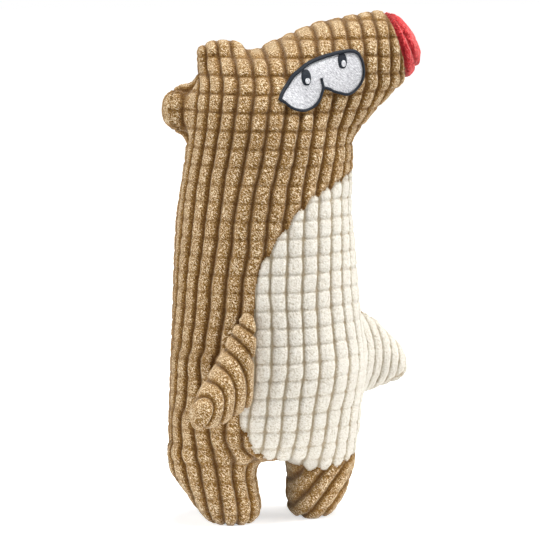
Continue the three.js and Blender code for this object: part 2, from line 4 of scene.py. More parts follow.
import bmesh
import bpy
import numpy as np
from mathutils import Vector, noise
from mathutils.bvhtree import BVHTree
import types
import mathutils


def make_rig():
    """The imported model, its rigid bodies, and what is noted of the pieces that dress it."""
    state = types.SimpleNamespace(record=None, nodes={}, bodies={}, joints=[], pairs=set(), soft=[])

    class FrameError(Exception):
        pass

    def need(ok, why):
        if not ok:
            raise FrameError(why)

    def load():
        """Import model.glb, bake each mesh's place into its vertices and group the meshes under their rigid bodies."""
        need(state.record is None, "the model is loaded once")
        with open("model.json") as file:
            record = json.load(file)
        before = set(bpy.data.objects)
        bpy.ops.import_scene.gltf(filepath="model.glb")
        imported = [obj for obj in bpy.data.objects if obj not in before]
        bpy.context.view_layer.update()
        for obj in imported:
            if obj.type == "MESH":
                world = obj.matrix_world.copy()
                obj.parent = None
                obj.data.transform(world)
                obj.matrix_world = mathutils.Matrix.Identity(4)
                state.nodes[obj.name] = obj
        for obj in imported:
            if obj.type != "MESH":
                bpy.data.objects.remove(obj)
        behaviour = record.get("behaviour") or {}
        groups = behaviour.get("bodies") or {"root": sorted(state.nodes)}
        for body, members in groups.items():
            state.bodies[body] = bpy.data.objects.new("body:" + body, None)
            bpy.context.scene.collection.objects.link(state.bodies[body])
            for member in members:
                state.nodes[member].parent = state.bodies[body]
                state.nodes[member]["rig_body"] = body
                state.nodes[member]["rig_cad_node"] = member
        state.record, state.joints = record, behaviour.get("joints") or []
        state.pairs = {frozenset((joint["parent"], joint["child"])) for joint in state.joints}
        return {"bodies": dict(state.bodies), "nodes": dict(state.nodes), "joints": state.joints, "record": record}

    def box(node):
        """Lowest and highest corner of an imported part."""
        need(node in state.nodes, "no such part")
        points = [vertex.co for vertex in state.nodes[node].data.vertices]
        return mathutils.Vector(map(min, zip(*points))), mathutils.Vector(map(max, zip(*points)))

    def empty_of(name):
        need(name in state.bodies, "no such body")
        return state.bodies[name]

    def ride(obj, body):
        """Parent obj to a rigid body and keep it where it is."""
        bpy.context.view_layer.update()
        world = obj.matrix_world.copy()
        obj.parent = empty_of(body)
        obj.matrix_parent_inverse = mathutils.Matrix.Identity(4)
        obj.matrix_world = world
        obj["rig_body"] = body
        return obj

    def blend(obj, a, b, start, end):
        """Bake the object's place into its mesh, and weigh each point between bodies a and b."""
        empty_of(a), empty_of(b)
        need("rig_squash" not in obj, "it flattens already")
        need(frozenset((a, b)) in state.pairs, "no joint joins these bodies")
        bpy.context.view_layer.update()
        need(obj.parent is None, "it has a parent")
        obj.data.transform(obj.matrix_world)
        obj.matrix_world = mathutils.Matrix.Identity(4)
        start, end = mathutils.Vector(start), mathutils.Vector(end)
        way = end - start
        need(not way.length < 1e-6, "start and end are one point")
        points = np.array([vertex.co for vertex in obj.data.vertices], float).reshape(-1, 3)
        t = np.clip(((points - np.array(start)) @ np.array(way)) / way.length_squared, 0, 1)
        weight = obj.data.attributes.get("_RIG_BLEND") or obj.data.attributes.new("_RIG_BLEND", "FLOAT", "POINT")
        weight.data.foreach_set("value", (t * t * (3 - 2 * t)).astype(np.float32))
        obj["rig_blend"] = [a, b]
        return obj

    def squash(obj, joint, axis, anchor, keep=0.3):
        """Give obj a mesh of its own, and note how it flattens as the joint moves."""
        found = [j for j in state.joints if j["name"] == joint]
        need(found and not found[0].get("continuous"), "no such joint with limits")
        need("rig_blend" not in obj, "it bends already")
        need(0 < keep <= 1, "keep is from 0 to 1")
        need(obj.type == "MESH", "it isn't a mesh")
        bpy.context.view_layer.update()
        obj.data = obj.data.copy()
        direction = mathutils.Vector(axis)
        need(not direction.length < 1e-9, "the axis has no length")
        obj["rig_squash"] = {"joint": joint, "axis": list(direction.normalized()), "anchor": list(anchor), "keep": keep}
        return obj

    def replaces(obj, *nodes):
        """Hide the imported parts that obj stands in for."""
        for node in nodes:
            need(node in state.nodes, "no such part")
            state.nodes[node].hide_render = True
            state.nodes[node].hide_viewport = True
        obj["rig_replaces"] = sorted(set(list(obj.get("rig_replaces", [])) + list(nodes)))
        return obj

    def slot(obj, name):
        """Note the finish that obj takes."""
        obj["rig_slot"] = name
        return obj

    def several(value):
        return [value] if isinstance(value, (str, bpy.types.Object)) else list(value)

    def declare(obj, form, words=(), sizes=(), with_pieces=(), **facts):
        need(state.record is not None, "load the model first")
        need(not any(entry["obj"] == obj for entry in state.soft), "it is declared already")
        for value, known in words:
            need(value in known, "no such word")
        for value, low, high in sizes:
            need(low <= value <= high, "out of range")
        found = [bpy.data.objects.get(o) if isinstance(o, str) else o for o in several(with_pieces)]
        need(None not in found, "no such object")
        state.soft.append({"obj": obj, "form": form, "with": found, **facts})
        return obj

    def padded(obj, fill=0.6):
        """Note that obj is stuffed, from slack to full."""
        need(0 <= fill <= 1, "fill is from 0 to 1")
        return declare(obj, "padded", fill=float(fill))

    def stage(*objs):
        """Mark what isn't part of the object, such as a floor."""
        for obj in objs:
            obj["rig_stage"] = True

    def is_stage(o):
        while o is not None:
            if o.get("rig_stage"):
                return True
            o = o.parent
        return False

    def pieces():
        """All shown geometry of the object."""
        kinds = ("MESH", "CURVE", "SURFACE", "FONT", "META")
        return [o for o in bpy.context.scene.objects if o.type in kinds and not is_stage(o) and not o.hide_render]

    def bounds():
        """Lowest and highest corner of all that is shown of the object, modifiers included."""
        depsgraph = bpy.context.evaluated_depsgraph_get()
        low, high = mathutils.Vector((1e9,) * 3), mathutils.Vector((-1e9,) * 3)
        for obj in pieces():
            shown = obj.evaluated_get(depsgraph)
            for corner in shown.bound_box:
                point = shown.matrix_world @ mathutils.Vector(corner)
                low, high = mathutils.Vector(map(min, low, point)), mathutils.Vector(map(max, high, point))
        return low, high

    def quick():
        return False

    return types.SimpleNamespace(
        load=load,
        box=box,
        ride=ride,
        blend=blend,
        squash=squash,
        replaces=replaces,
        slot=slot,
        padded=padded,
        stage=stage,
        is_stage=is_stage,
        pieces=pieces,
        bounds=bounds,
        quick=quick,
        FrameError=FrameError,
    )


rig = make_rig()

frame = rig.load()
cad_low, cad_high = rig.bounds()

# Camera: it stands where the photographer did, a little to the toy's left and above its middle.
# The lens is long, so the toy hardly tapers with distance.
MM = 0.001
VIEW_TURN = math.radians(-11)
VIEW_RISE = math.radians(8)
VIEW_DISTANCE = 1.5
VIEW_WIDTH = 290.5 * MM
VIEW_TARGET = Vector((-14.5, -1.3, 138.6)) * MM

scene = bpy.context.scene
scene.view_settings.view_transform = "Standard"
camera_data = bpy.data.cameras.new("camera")
camera_data.lens = camera_data.sensor_width * VIEW_DISTANCE / VIEW_WIDTH
camera = bpy.data.objects.new("camera", camera_data)
level = math.cos(VIEW_RISE)
backward = Vector((math.sin(VIEW_TURN) * level, -math.cos(VIEW_TURN) * level, math.sin(VIEW_RISE)))
camera.location = VIEW_TARGET + VIEW_DISTANCE * backward
camera.rotation_euler = (-backward).to_track_quat("-Z", "Y").to_euler()
scene.collection.objects.link(camera)
scene.camera = camera


# Studio: a pale floor under an even white sky, a lamp at each side, one overhead and a small one on the legs.
# The floor glows more with distance, so that it meets the white behind it and keeps the toy's shadow.
# Places and sizes in the studio are in metres.
WHITE = (1.0, 1.0, 1.0, 1.0)
SKY_STRENGTH = 0.08
FLOOR_SIZE = 12.0
FLOOR_COLOUR = (0.8, 0.8, 0.8, 1.0)
FLOOR_GLOW_NEAR = 0.6
FLOOR_GLOW_FAR = 1.0
FLOOR_GLOW_REACH = 2.0


class Value:
    """A value in a node tree; arithmetic on it adds the Math nodes that work it out."""

    def __init__(self, tree, socket):
        self.tree = tree
        self.socket = socket

    def worked(self, operation, first, second):
        node = self.tree.nodes.new("ShaderNodeMath")
        node.operation = operation
        for slot, value in zip(node.inputs, (first, second)):
            if isinstance(value, Value):
                self.tree.links.new(value.socket, slot)
            else:
                slot.default_value = value
        return Value(self.tree, node.outputs[0])

    def __add__(self, other):
        return self.worked("ADD", self, other)

    def __sub__(self, other):
        return self.worked("SUBTRACT", self, other)

    def __rsub__(self, other):
        return self.worked("SUBTRACT", other, self)

    def __mul__(self, other):
        return self.worked("MULTIPLY", self, other)

    __radd__ = __add__
    __rmul__ = __mul__


class Nodes:
    """The node tree of one finish, and the one way to add a node to it."""

    def __init__(self, owner):
        owner.use_nodes = True
        self.owner = owner
        self.tree = owner.node_tree

    def add(self, kind, settings=None, inputs=None, output=0):
        node = self.tree.nodes.new("ShaderNode" + kind)
        for name, setting in (settings or {}).items():
            if name == "stops":
                self.set_stops(node.color_ramp.elements, setting)
            else:
                setattr(node, name, setting)
        for name, value in (inputs or {}).items():
            self.put(node.inputs[name], value)
        return Value(self.tree, node.outputs[output])

    def set_stops(self, elements, stops):
        while len(elements) < len(stops):
            elements.new(1.0)
        for element, (position, colour) in zip(elements, stops):
            element.position = position
            element.color = colour

    def put(self, slot, value):
        if isinstance(value, Value):
            self.tree.links.new(value.socket, slot)
        else:
            slot.default_value = value

    def coat(self, inputs):
        """Sets or links the sockets of a material's own shader."""
        for name, value in inputs.items():
            self.put(self.tree.nodes["Principled BSDF"].inputs[name], value)
        return self.owner

    def show(self, value):
        output = next(node for node in self.tree.nodes if node.type.startswith("OUTPUT"))
        self.tree.links.new(value.socket, output.inputs["Surface"])


def paint(code):
    """The scene colour of a #rrggbb code, by the sRGB curve."""
    colour = list(WHITE)
    for channel in range(3):
        share = int(code[1 + 2 * channel : 3 + 2 * channel], 16) / 255
        colour[channel] = share / 12.92 if share <= 0.04045 else ((share + 0.055) / 1.055) ** 2.4
    return colour


def seen_straight(nodes):
    """1 for light seen straight, in a reflection or through a clear piece, 0 for light that is spread."""
    rays = ("Camera", "Glossy", "Transmission")
    return sum(nodes.add("LightPath", output=f"Is {ray} Ray") for ray in rays)


def meshed(name, shape):
    """The mesh of a finished shape."""
    mesh = bpy.data.meshes.new(name)
    shape.to_mesh(mesh)
    shape.free()
    return mesh


def made(name, mesh):
    """A new object in the scene."""
    piece = bpy.data.objects.new(name, mesh)
    scene.collection.objects.link(piece)
    return piece


sky = Nodes(bpy.data.worlds.new("sky"))
scene.world = sky.owner
sky.show(
    sky.add(
        "MixShader",
        inputs={
            0: seen_straight(sky),
            1: sky.add("Background", inputs={"Color": WHITE, "Strength": SKY_STRENGTH}),
            2: sky.add("Background", inputs={"Color": WHITE, "Strength": 1.0}),
        },
    )
)

floor_shape = bmesh.new()
bmesh.ops.create_grid(floor_shape, x_segments=1, y_segments=1, size=FLOOR_SIZE / 2)
floor = made("floor", meshed("floor", floor_shape))
floor_finish = Nodes(bpy.data.materials.new("pale_floor"))
floor_distance = floor_finish.add(
    "VectorMath",
    {"operation": "LENGTH"},
    {0: floor_finish.add("TexCoord", output="Object")},
    output="Value",
)
floor_glow = floor_finish.add(
    "MapRange",
    inputs={
        "Value": floor_distance,
        "From Max": FLOOR_GLOW_REACH,
        "To Min": FLOOR_GLOW_NEAR,
        "To Max": FLOOR_GLOW_FAR,
    },
)
floor_finish.show(
    floor_finish.add(
        "AddShader",
        inputs={
            0: floor_finish.add("BsdfDiffuse", inputs={"Color": FLOOR_COLOUR}),
            1: floor_finish.add(
                "MixShader",
                inputs={0: seen_straight(floor_finish) * floor_glow, 2: floor_finish.add("Emission")},
            ),
        },
    )
)
floor.data.materials.append(floor_finish.owner)
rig.stage(floor)

WIDE_BEAM = 180
LAMPS = {
    "key_lamp": {"place": (1.5, -0.45, 0.7), "aim": 0.14, "width": 1.0, "watts": 20.0, "beam": WIDE_BEAM},
    "rim_lamp": {"place": (-1.5, 0.0, 0.6), "aim": 0.14, "width": 1.0, "watts": 22.0, "beam": WIDE_BEAM},
    "top_lamp": {"place": (0.2, -0.2, 1.7), "aim": 0.14, "width": 0.8, "watts": 43.0, "beam": WIDE_BEAM},
    "leg_lamp": {"place": (0.1, -1.3, 0.1), "aim": -0.05, "width": 0.15, "watts": 0.05, "beam": 8},
}
for lamp_name, lamp in LAMPS.items():
    lamp_data = bpy.data.lights.new(lamp_name, "AREA")
    lamp_data.size = lamp["width"]
    lamp_data.energy = lamp["watts"]
    lamp_data.spread = math.radians(lamp["beam"])
    lamp_object = bpy.data.objects.new(lamp_name, lamp_data)
    lamp_object.location = lamp["place"]
    lit_place = Vector((VIEW_TARGET.x, VIEW_TARGET.y, lamp["aim"]))
    lamp_object.rotation_euler = (lit_place - lamp_object.location).to_track_quat("-Z", "Y").to_euler()
    scene.collection.objects.link(lamp_object)

# Stuffed forms: torso, head, ears, right arm and legs are one skin of cloth pressed out by its filling.
# The left arm is a form of its own that is sewn on. The seams hold the cloth back while it swells.
# From here on, lengths that aren't multiplied by MM are in millimetres.
FORM_VOXEL = 3.0 * MM
FORM_SMOOTHING = 3
MERGE_DISTANCE = 0.01 * MM
EASE_STEP = 0.5
SWELL_PRESSURE = 4.0
SWELL_FRAMES = 20
SWELL_LIMIT = 2.0 * MM
SEAM_HOLD = 3.0 * MM
FINE_LEVELS = 2
HIP_TOP = 56.0
HIP_ROUNDS = 30
ARM_BRIDGE = 46.0
ARM_ROUNDS = 70
EAR_BALL = 18.0
EAR_ROUNDS = 5

joint_points = {joint["name"]: Vector(joint["pos_m"]) / MM for joint in frame["joints"] if "pos_m" in joint}
NECK = joint_points["neck_nod"]


def sewn(*members):
    """Names of the panels and fillings of some members."""
    return [f"{member}_{part}" for member in members for part in ("front_panel", "back_panel", "filling")]


def read_points(mesh):
    values = np.zeros(len(mesh.vertices) * 3, np.float32)
    mesh.vertices.foreach_get("co", values)
    return values.reshape(-1, 3).astype(float) / MM


def read_normals(mesh):
    values = np.zeros(len(mesh.vertices) * 3, np.float32)
    mesh.vertex_normals.foreach_get("vector", values)
    return values.reshape(-1, 3).astype(float)


def write_points(mesh, points):
    mesh.vertices.foreach_set("co", (points * MM).astype(np.float32).ravel())
    mesh.update()


def settle(form):
    """Works an object's modifiers into its mesh."""
    graph = bpy.context.evaluated_depsgraph_get()
    mesh = bpy.data.meshes.new_from_object(form.evaluated_get(graph))
    form.modifiers.clear()
    form.data = mesh


def swell(form, held):
    """Presses the cloth out with its filling, no further than the limit, while the held points stay."""
    start = read_points(form.data)
    pins = form.vertex_groups.new(name="seam")
    pins.add([int(index) for index in np.nonzero(held)[0]], 1.0, "REPLACE")
    cloth = form.modifiers.new("filling", "CLOTH")
    cloth.settings.use_pressure = True
    cloth.settings.uniform_pressure_force = SWELL_PRESSURE
    cloth.settings.effector_weights.gravity = 0.0
    cloth.settings.vertex_group_mass = pins.name
    cloth.collision_settings.use_collision = False
    cloth.point_cache.frame_end = SWELL_FRAMES
    for step in range(1, SWELL_FRAMES + 1):
        scene.frame_set(step)
    settle(form)
    moved = read_points(form.data) - start
    scene.frame_set(1)
    reach = np.linalg.norm(moved, axis=1, keepdims=True)
    moved *= np.minimum(1.0, SWELL_LIMIT / MM / np.maximum(reach, 1e-9))
    write_points(form.data, start + moved)
    form.vertex_groups.clear()


def hull_of(nodes):
    """The mesh of a skin that is stretched over some solids."""
    shape = bmesh.new()
    for node in nodes:
        for point in frame["nodes"][node].data.vertices:
            shape.verts.new(point.co)
    found = bmesh.ops.convex_hull(shape, input=shape.verts)
    bmesh.ops.delete(shape, geom=found["geom_interior"], context="VERTS")
    return meshed("hull", shape)


def formed(name, nodes, filled=()):
    """One smooth closed form round some solids, with the sockets in the filled ones stopped up."""
    shape = bmesh.new()
    for node in nodes:
        shape.from_mesh(frame["nodes"][node].data)
    if filled:
        shape.from_mesh(hull_of(filled))
    bmesh.ops.remove_doubles(shape, verts=shape.verts, dist=MERGE_DISTANCE)
    form = made(name, meshed(name, shape))
    remesh = form.modifiers.new("remesh", "REMESH")
    remesh.mode = "VOXEL"
    remesh.voxel_size = FORM_VOXEL
    ease = form.modifiers.new("ease", "SMOOTH")
    ease.iterations = FORM_SMOOTHING
    settle(form)
    return form


OUTWARDS = 1
INWARDS = -1


def ease_bends(form, chosen, rounds, way):
    """Smooths chosen points one way only: outwards bridges hollows, inwards rounds off corners."""
    mesh = form.data
    ends = np.zeros(len(mesh.edges) * 2, np.int32)
    mesh.edges.foreach_get("vertices", ends)
    pairs = np.concatenate([ends.reshape(-1, 2), ends.reshape(-1, 2)[:, ::-1]])
    count = np.bincount(pairs[:, 0], minlength=len(mesh.vertices))[:, None]
    for _ in range(rounds):
        places = read_points(mesh)
        middle = np.zeros_like(places)
        np.add.at(middle, pairs[:, 0], places[pairs[:, 1]])
        step = middle / count - places
        bent = ((step * read_normals(mesh)).sum(axis=1) * way > 0) & chosen(places)
        write_points(mesh, places + EASE_STEP * step * bent[:, None])


def by_hips(places):
    return places[:, 2] < HIP_TOP


def by_right_arm(places):
    return np.linalg.norm(places - np.array(joint_points["arm_right_swing"]), axis=1) < ARM_BRIDGE


def on_upper_ear_end(places):
    root = joint_points["ear_upper_flop"]
    return (np.linalg.norm(places - np.array(root), axis=1) < EAR_BALL) & (places[:, 2] > root.z)


def stuffed(name, nodes, held, filled=()):
    """A fine mesh of a form that is swollen by its filling, held where its points answer to `held`."""
    form = formed(name, nodes, filled)
    ease_bends(form, by_hips, HIP_ROUNDS, OUTWARDS)
    ease_bends(form, by_right_arm, ARM_ROUNDS, OUTWARDS)
    ease_bends(form, on_upper_ear_end, EAR_ROUNDS, INWARDS)
    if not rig.quick():
        swell(form, held(*read_points(form.data).T))
    fine = form.modifiers.new("fine", "SUBSURF")
    fine.levels = fine.render_levels = FINE_LEVELS
    settle(form)
    return form


def at_seam_or_floor(x, y, z):
    hold = SEAM_HOLD / MM
    return (abs(y - NECK.y) < hold) | (z < hold)


TORSO_NODES = ["torso_front_panel", "torso_back_panel", "torso_front_filling", "torso_back_filling"]
HEAD_NODES = ["head_front_panel", "head_back_panel", "head_filling"]
NOSE_NODES = ["nose_front_panel", "nose_back_panel"]
TRUNK_NODES = TORSO_NODES + ["belly_panel"] + HEAD_NODES + NOSE_NODES
MEMBER_NODES = sewn("ear_upper", "ear_lower", "arm_right", "leg_left", "leg_right")
SHELL_NODES = ["torso_front_panel", "torso_back_panel", "belly_panel"]
body = stuffed("body", TRUNK_NODES + MEMBER_NODES, at_seam_or_floor, SHELL_NODES)
bare_body = BVHTree.FromObject(body, bpy.context.evaluated_depsgraph_get())

# Lay of the corduroy: wide rounded wales with grooves between them, and every wale notched into short cells.
# The wales are counted by distance round the form, from a groove down its front and one down its back.
WALE_PITCH = 8.8
CELL_LENGTH = 9.5
CELL_START = 6.3
CELL_SHIFT = 0.9
BROWN_HEIGHT = 2.2
BROWN_FLANK = 0.46
CREAM_HEIGHT = 2.0
CREAM_FLANK = 0.3
BROWN_CROWN = 0.3
CREAM_CROWN = 0.4
WALE_MIDDLE = 0.75
NOTCH_WIDTH = 0.9
NOTCH_PINCH = 0.22
PINCH_WIDTH = 1.6
PILE_WIDTH = 1.2
PILE_LENGTH = 2.1
PILE_HEIGHT = 0.28
PILE_SHADE_CONTRAST = 0.7
WANDER = 0.8
WANDER_SPAN = 26.0
WOBBLE = 0.45
WOBBLE_SPAN = 9.0
SEAM_DEPTH = 1.8
SEAM_WIDTH = 1.4
SEAM_PRESS = 0.6
SEAM_PRESS_WIDTH = 7.0

# Starts of the smooth noise, so that no two uses of it agree
WANDER_SEED = 1.0
RING_SEED = 2.0
SHIFT_SEED = 3.0
PILE_SEED = 5.0
WOBBLE_SEED = 7.0
SHIFT_STEP = (1.37, 0.41, 0.0)
LAYER_STEP = 1000

# The grooves that the count starts from, as (height, distance right of the middle)
BROWN_FRONT_GROOVE = [
    (275, 1.5), (240, -0.9), (211, -5.7), (182, -12.0), (150, -15.5), (137, -18.0), (100, -22.0),
    (73, -24.5), (52, -26.4), (32, -21.5), (12, -18.5),
]
CREAM_FRONT_GROOVE = [(190, -1.0), (150, -3.5), (130, -4.1), (90, -3.1), (52, -6.2), (35, -8.0)]
BACK_GROOVE = [(275, 2.0), (190, -4.0), (100, -4.0), (12, -8.0)]


def ease_in(share):
    share = np.clip(share, 0.0, 1.0)
    return share * share * (3 - 2 * share)


def near(distance, width):
    """1 at no distance, falling off over a width."""
    return np.exp(-((distance / width) ** 2))


class Girth:
    """Distance round a form at each level, from a groove on its front and one on its back."""

    STEPS = 64
    RISE = 3.0
    OUTSIDE = 400.0
    SEAM_CLEARANCE = 0.02
    BESIDE_SEAM = 1.0
    SHORT_OF_END = 0.001

    def __init__(self, nodes, lowest, highest, seam_y, front_groove):
        form = formed("measured", nodes, [node for node in SHELL_NODES if node in nodes])
        self.tree = BVHTree.FromObject(form, bpy.context.evaluated_depsgraph_get())
        bpy.data.objects.remove(form)
        self.seam_y = seam_y
        self.levels = np.arange(lowest, highest, self.RISE)
        rows = [self.row(level, (front_groove, BACK_GROOVE)) for level in self.levels]
        self.middle, self.half, self.depth = (np.array([row[at] for row in rows]) for at in range(3))
        self.places = [np.array([row[3 + at][0] for row in rows]) for at in range(2)]
        self.lengths = [self.calmed(np.array([row[3 + at][1] for row in rows])) for at in range(2)]

    def hit(self, place, way):
        found = self.tree.ray_cast(Vector(place) * MM, Vector(way))[0]
        return np.array(found) / MM

    def row(self, level, grooves):
        """Middle, half width and depth of one level, then places and lengths along its front and back."""
        beside = self.seam_y - self.BESIDE_SEAM
        left = self.hit((-self.OUTSIDE, beside, level), (1, 0, 0))[0]
        right = self.hit((self.OUTSIDE, beside, level), (-1, 0, 0))[0]
        middle, half = (left + right) / 2, (right - left) / 2
        depth = self.seam_y - self.hit((middle, -self.OUTSIDE, level), (0, 1, 0))[1]
        found = [middle, half, depth]
        turns = np.linspace(self.SEAM_CLEARANCE, math.pi - self.SEAM_CLEARANCE, self.STEPS + 1)
        for start, groove in zip((-math.pi, 0.0), grooves):
            points = []
            for turn in turns + start:
                way = np.array([half * math.cos(turn), depth * math.sin(turn), 0.0])
                way /= np.linalg.norm(way)
                points.append(self.hit((middle, self.seam_y, level) + way * self.OUTSIDE, -way))
            points = np.array(points)
            steps = np.linalg.norm(np.diff(points, axis=0), axis=1)
            length = np.concatenate([[0.0], np.cumsum(steps)])
            heights, sides = zip(*sorted(groove))
            groove_x = NECK.x + np.interp(level, heights, sides)
            found.append((points[:, 0], length - self.along(points[:, 0], length, groove_x)))
        return found

    def along(self, places, lengths, x):
        """Length along a row at some x, carried on straight past the row's ends."""
        order = np.argsort(places)
        places, lengths = places[order], lengths[order]
        way = np.sign(lengths[-1] - lengths[0])
        beyond = np.minimum(0.0, x - places[0]) + np.maximum(0.0, x - places[-1])
        return np.interp(x, places, lengths) + way * beyond

    def calmed(self, table):
        padded = np.concatenate([table[:1], table, table[-1:]])
        return (padded[:-2] + 2 * padded[1:-1] + padded[2:]) / 4

    def measure(self, points, front):
        top = len(self.levels) - 1 - self.SHORT_OF_END
        level = np.clip((points[:, 2] - self.levels[0]) / self.RISE, 0, top)
        middle, half, depth = (
            np.interp(points[:, 2], self.levels, values) for values in (self.middle, self.half, self.depth)
        )
        turn = np.arctan2((points[:, 1] - self.seam_y) / depth, (points[:, 0] - middle) / half)
        front_length = self.look_up(self.lengths[0], level, turn / math.pi + 1)
        back_length = self.look_up(self.lengths[1], level, turn / math.pi)
        past_seam = back_length - self.look_up(self.lengths[1], level, turn * 0)
        return np.where(front, front_length + np.where(turn > 0, past_seam, 0.0), back_length)

    def look_up(self, table, level, share):
        row = level.astype(int)
        high = level - row
        at = np.clip(share, 0, 1) * (self.STEPS - self.SHORT_OF_END)
        column = at.astype(int)
        right = at - column
        low_side = table[row, column] * (1 - right) + table[row, column + 1] * right
        high_side = table[row + 1, column] * (1 - right) + table[row + 1, column + 1] * right
        return low_side * (1 - high) + high_side * high

    def straight_up(self, points, front, level):
        """Distance by x alone, for wales that run straight up from one level."""
        row = int((level - self.levels[0]) / self.RISE)
        sides = [self.along(self.places[at][row], self.lengths[at][row], points[:, 0]) for at in range(2)]
        return np.where(front, *sides)


def waves(points, seed):
    """Smooth noise over some points, from about -1 to 1."""
    return np.array([noise.noise(Vector(point) + Vector((seed, 0.0, 0.0))) for point in points])


def wale_form(across, along, notch_depth, flank, crown):
    """Height of the cloth, from 0 in a groove to 1 on a wale; a flank is the share of a wale that slopes."""
    to_notch = (0.5 - abs((along / CELL_LENGTH % 1) - 0.5)) * CELL_LENGTH
    pinch = 1 + NOTCH_PINCH * notch_depth * near(to_notch, PINCH_WIDTH)
    off_middle = np.minimum(1, pinch * abs(2 * (across / WALE_PITCH % 1) - 1))
    rounded = (1 - crown) * ease_in((1 - off_middle) / flank) + crown * (1 - off_middle**2)
    return rounded * (1 - notch_depth * near(to_notch, NOTCH_WIDTH))


def tufts(points):
    """Height of the pile's short tufts, which lean down to the right."""
    x, y, z = points.T
    slant = math.sqrt(0.5)
    lean = np.stack([(x + z) * slant / PILE_WIDTH, (x - z) * slant / PILE_LENGTH, y / PILE_WIDTH], axis=1)
    return waves(lean, PILE_SEED)


def cell_shift(across, layer):
    """How far the notches of each wale stand out of line with its neighbours'."""
    numbers, which = np.unique(np.floor(across / WALE_PITCH) + LAYER_STEP * layer, return_inverse=True)
    return CELL_SHIFT * waves(numbers[:, None] * np.array(SHIFT_STEP), SHIFT_SEED)[which]


def note(mesh, name, values):
    """Keeps a number or a vector for each point of a mesh."""
    kind, field = ("FLOAT", "value") if values.ndim == 1 else ("FLOAT_VECTOR", "vector")
    attribute = mesh.attributes.new(name, kind, "POINT")
    attribute.data.foreach_set(field, values.astype(np.float32).ravel())


def raise_pile(form, wale, wale_height, tuft_height, seam, flat):
    """Lifts a form's points into wales and pile, and notes what its finish needs."""
    points, normals = read_points(form.data), read_normals(form.data)
    tuft = tufts(points)
    lift = wale_height * (wale - WALE_MIDDLE) * (1 - seam) + tuft_height * tuft - SEAM_DEPTH * seam
    points = points + normals * (lift * (1 - flat))[:, None]
    points[:, 2] = np.maximum(points[:, 2], 0.0)
    write_points(form.data, points)
    # The wale height, cut down in seams, and the tuft height are kept for the finish, which paints shade where they are
    # low and a highlight where the tufts are high.
    note(form.data, "wale", np.clip(wale * (1 - seam), 0, 1))
    note(form.data, "tuft", np.clip(0.5 + PILE_SHADE_CONTRAST * tuft, 0, 1))
    form.data.polygons.foreach_set("use_smooth", np.ones(len(form.data.polygons), bool))
    form.data.update()
    note(form.data, "rest_normal", read_normals(form.data))


def outline_depth(sides, heights, outline, left_out=0):
    """Signed distance to an outline seen from the front, positive inside; some last edges may be left out."""
    nearest = np.full(len(sides), np.inf)
    inside = np.zeros(len(sides), bool)
    for index, ((x0, z0), (x1, z1)) in enumerate(zip(outline, outline[1:] + outline[:1])):
        dx, dz = x1 - x0, z1 - z0
        share = np.clip(((sides - x0) * dx + (heights - z0) * dz) / (dx * dx + dz * dz), 0, 1)
        if index < len(outline) - left_out:
            nearest = np.minimum(nearest, np.hypot(sides - x0 - share * dx, heights - z0 - share * dz))
        if dz:
            crosses = (z0 > heights) != (z1 > heights)
            inside ^= crosses & (sides < x0 + (heights - z0) * dx / dz)
    return np.where(inside, nearest, -nearest)


points, normals = read_points(body.data), read_normals(body.data)
x, y, z = points.T
side = x - NECK.x

# Members that turn the wales: legs, right arm and lower ear
LEG_TOP = 46.0
LEG_FADE = 12.0
RIGHT_LEG_SLANT = math.radians(38)
RIGHT_LEG_GROOVE = 30.0
RIGHT_ARM_AIM = math.radians(16)
RIGHT_ARM_ROOT = -16.0
RIGHT_ARM_FADE = 20.0
RIGHT_ARM_BOW = 60.0
RIGHT_ARM_GATHER = 1.5
RIGHT_ARM_TOP = 130.0
ARM_SEAM_BACK = 8.0
FAR_INSIDE = -100.0
BOW_START = 15.0
BOW_SPAN = 40.0
BOW_REACH = 6.0
RIGHT_ARM_WRAP = 18.0
RIGHT_ARM_SPREAD = 34.0
BOW_SPREAD = RIGHT_ARM_SPREAD / 1.5
ROOT_HALF_HEIGHT = 5.0
ROOT_HALF_DEPTH = 2.0
ROOT_FACING = 0.3
EAR_FADE = 7.0
LOWER_EAR_SPREAD = 24.0
EAR_TUFT = 4.5
EAR_TUFT_FADE = 3.0
STRAIGHT_FROM = 236.0
STRAIGHT_FADE = 10.0
BELLY_STRAIGHT = 62.0
BELLY_LEAN = 0.08
TRUNK_LEVELS = (50.0, 274.0)
BELLY_LEVELS = (50.0, 190.0)
LEG_LEVELS = (6.0, 42.0)

legs = {name: joint_points[f"{name}_swing"] for name in ("leg_left", "leg_right")}
between_legs = (legs["leg_left"].x + legs["leg_right"].x) / 2
below_hip = 1 - ease_in((z - LEG_TOP + LEG_FADE) / LEG_FADE)
in_leg = {"leg_left": below_hip * (x < between_legs), "leg_right": below_hip * (x >= between_legs)}
right_arm = joint_points["arm_right_swing"]
right_arm_way = np.array([math.cos(RIGHT_ARM_AIM), math.sin(RIGHT_ARM_AIM), 0.0])
from_right_arm = points - np.array(right_arm)
arm_out = np.where(z < RIGHT_ARM_TOP, from_right_arm @ right_arm_way, FAR_INSIDE)
in_arm = ease_in((arm_out - RIGHT_ARM_ROOT) / RIGHT_ARM_FADE)
lower_ear = joint_points["ear_lower_flop"]
in_lower_ear = ease_in((lower_ear.x + EAR_FADE / 2 - x) / EAR_FADE)
in_lower_ear *= near(z - lower_ear.z, LOWER_EAR_SPREAD)

# The seam runs down both sides, and turns back to follow the members
seam_y = NECK.y + np.where(side > 0, RIGHT_ARM_WRAP * near(z - right_arm.z, RIGHT_ARM_SPREAD), 0.0)
for name, share in in_leg.items():
    seam_y = seam_y + share * (legs[name].y - NECK.y)
seam_y = seam_y + in_lower_ear * (lower_ear.y - NECK.y)
front = y < seam_y

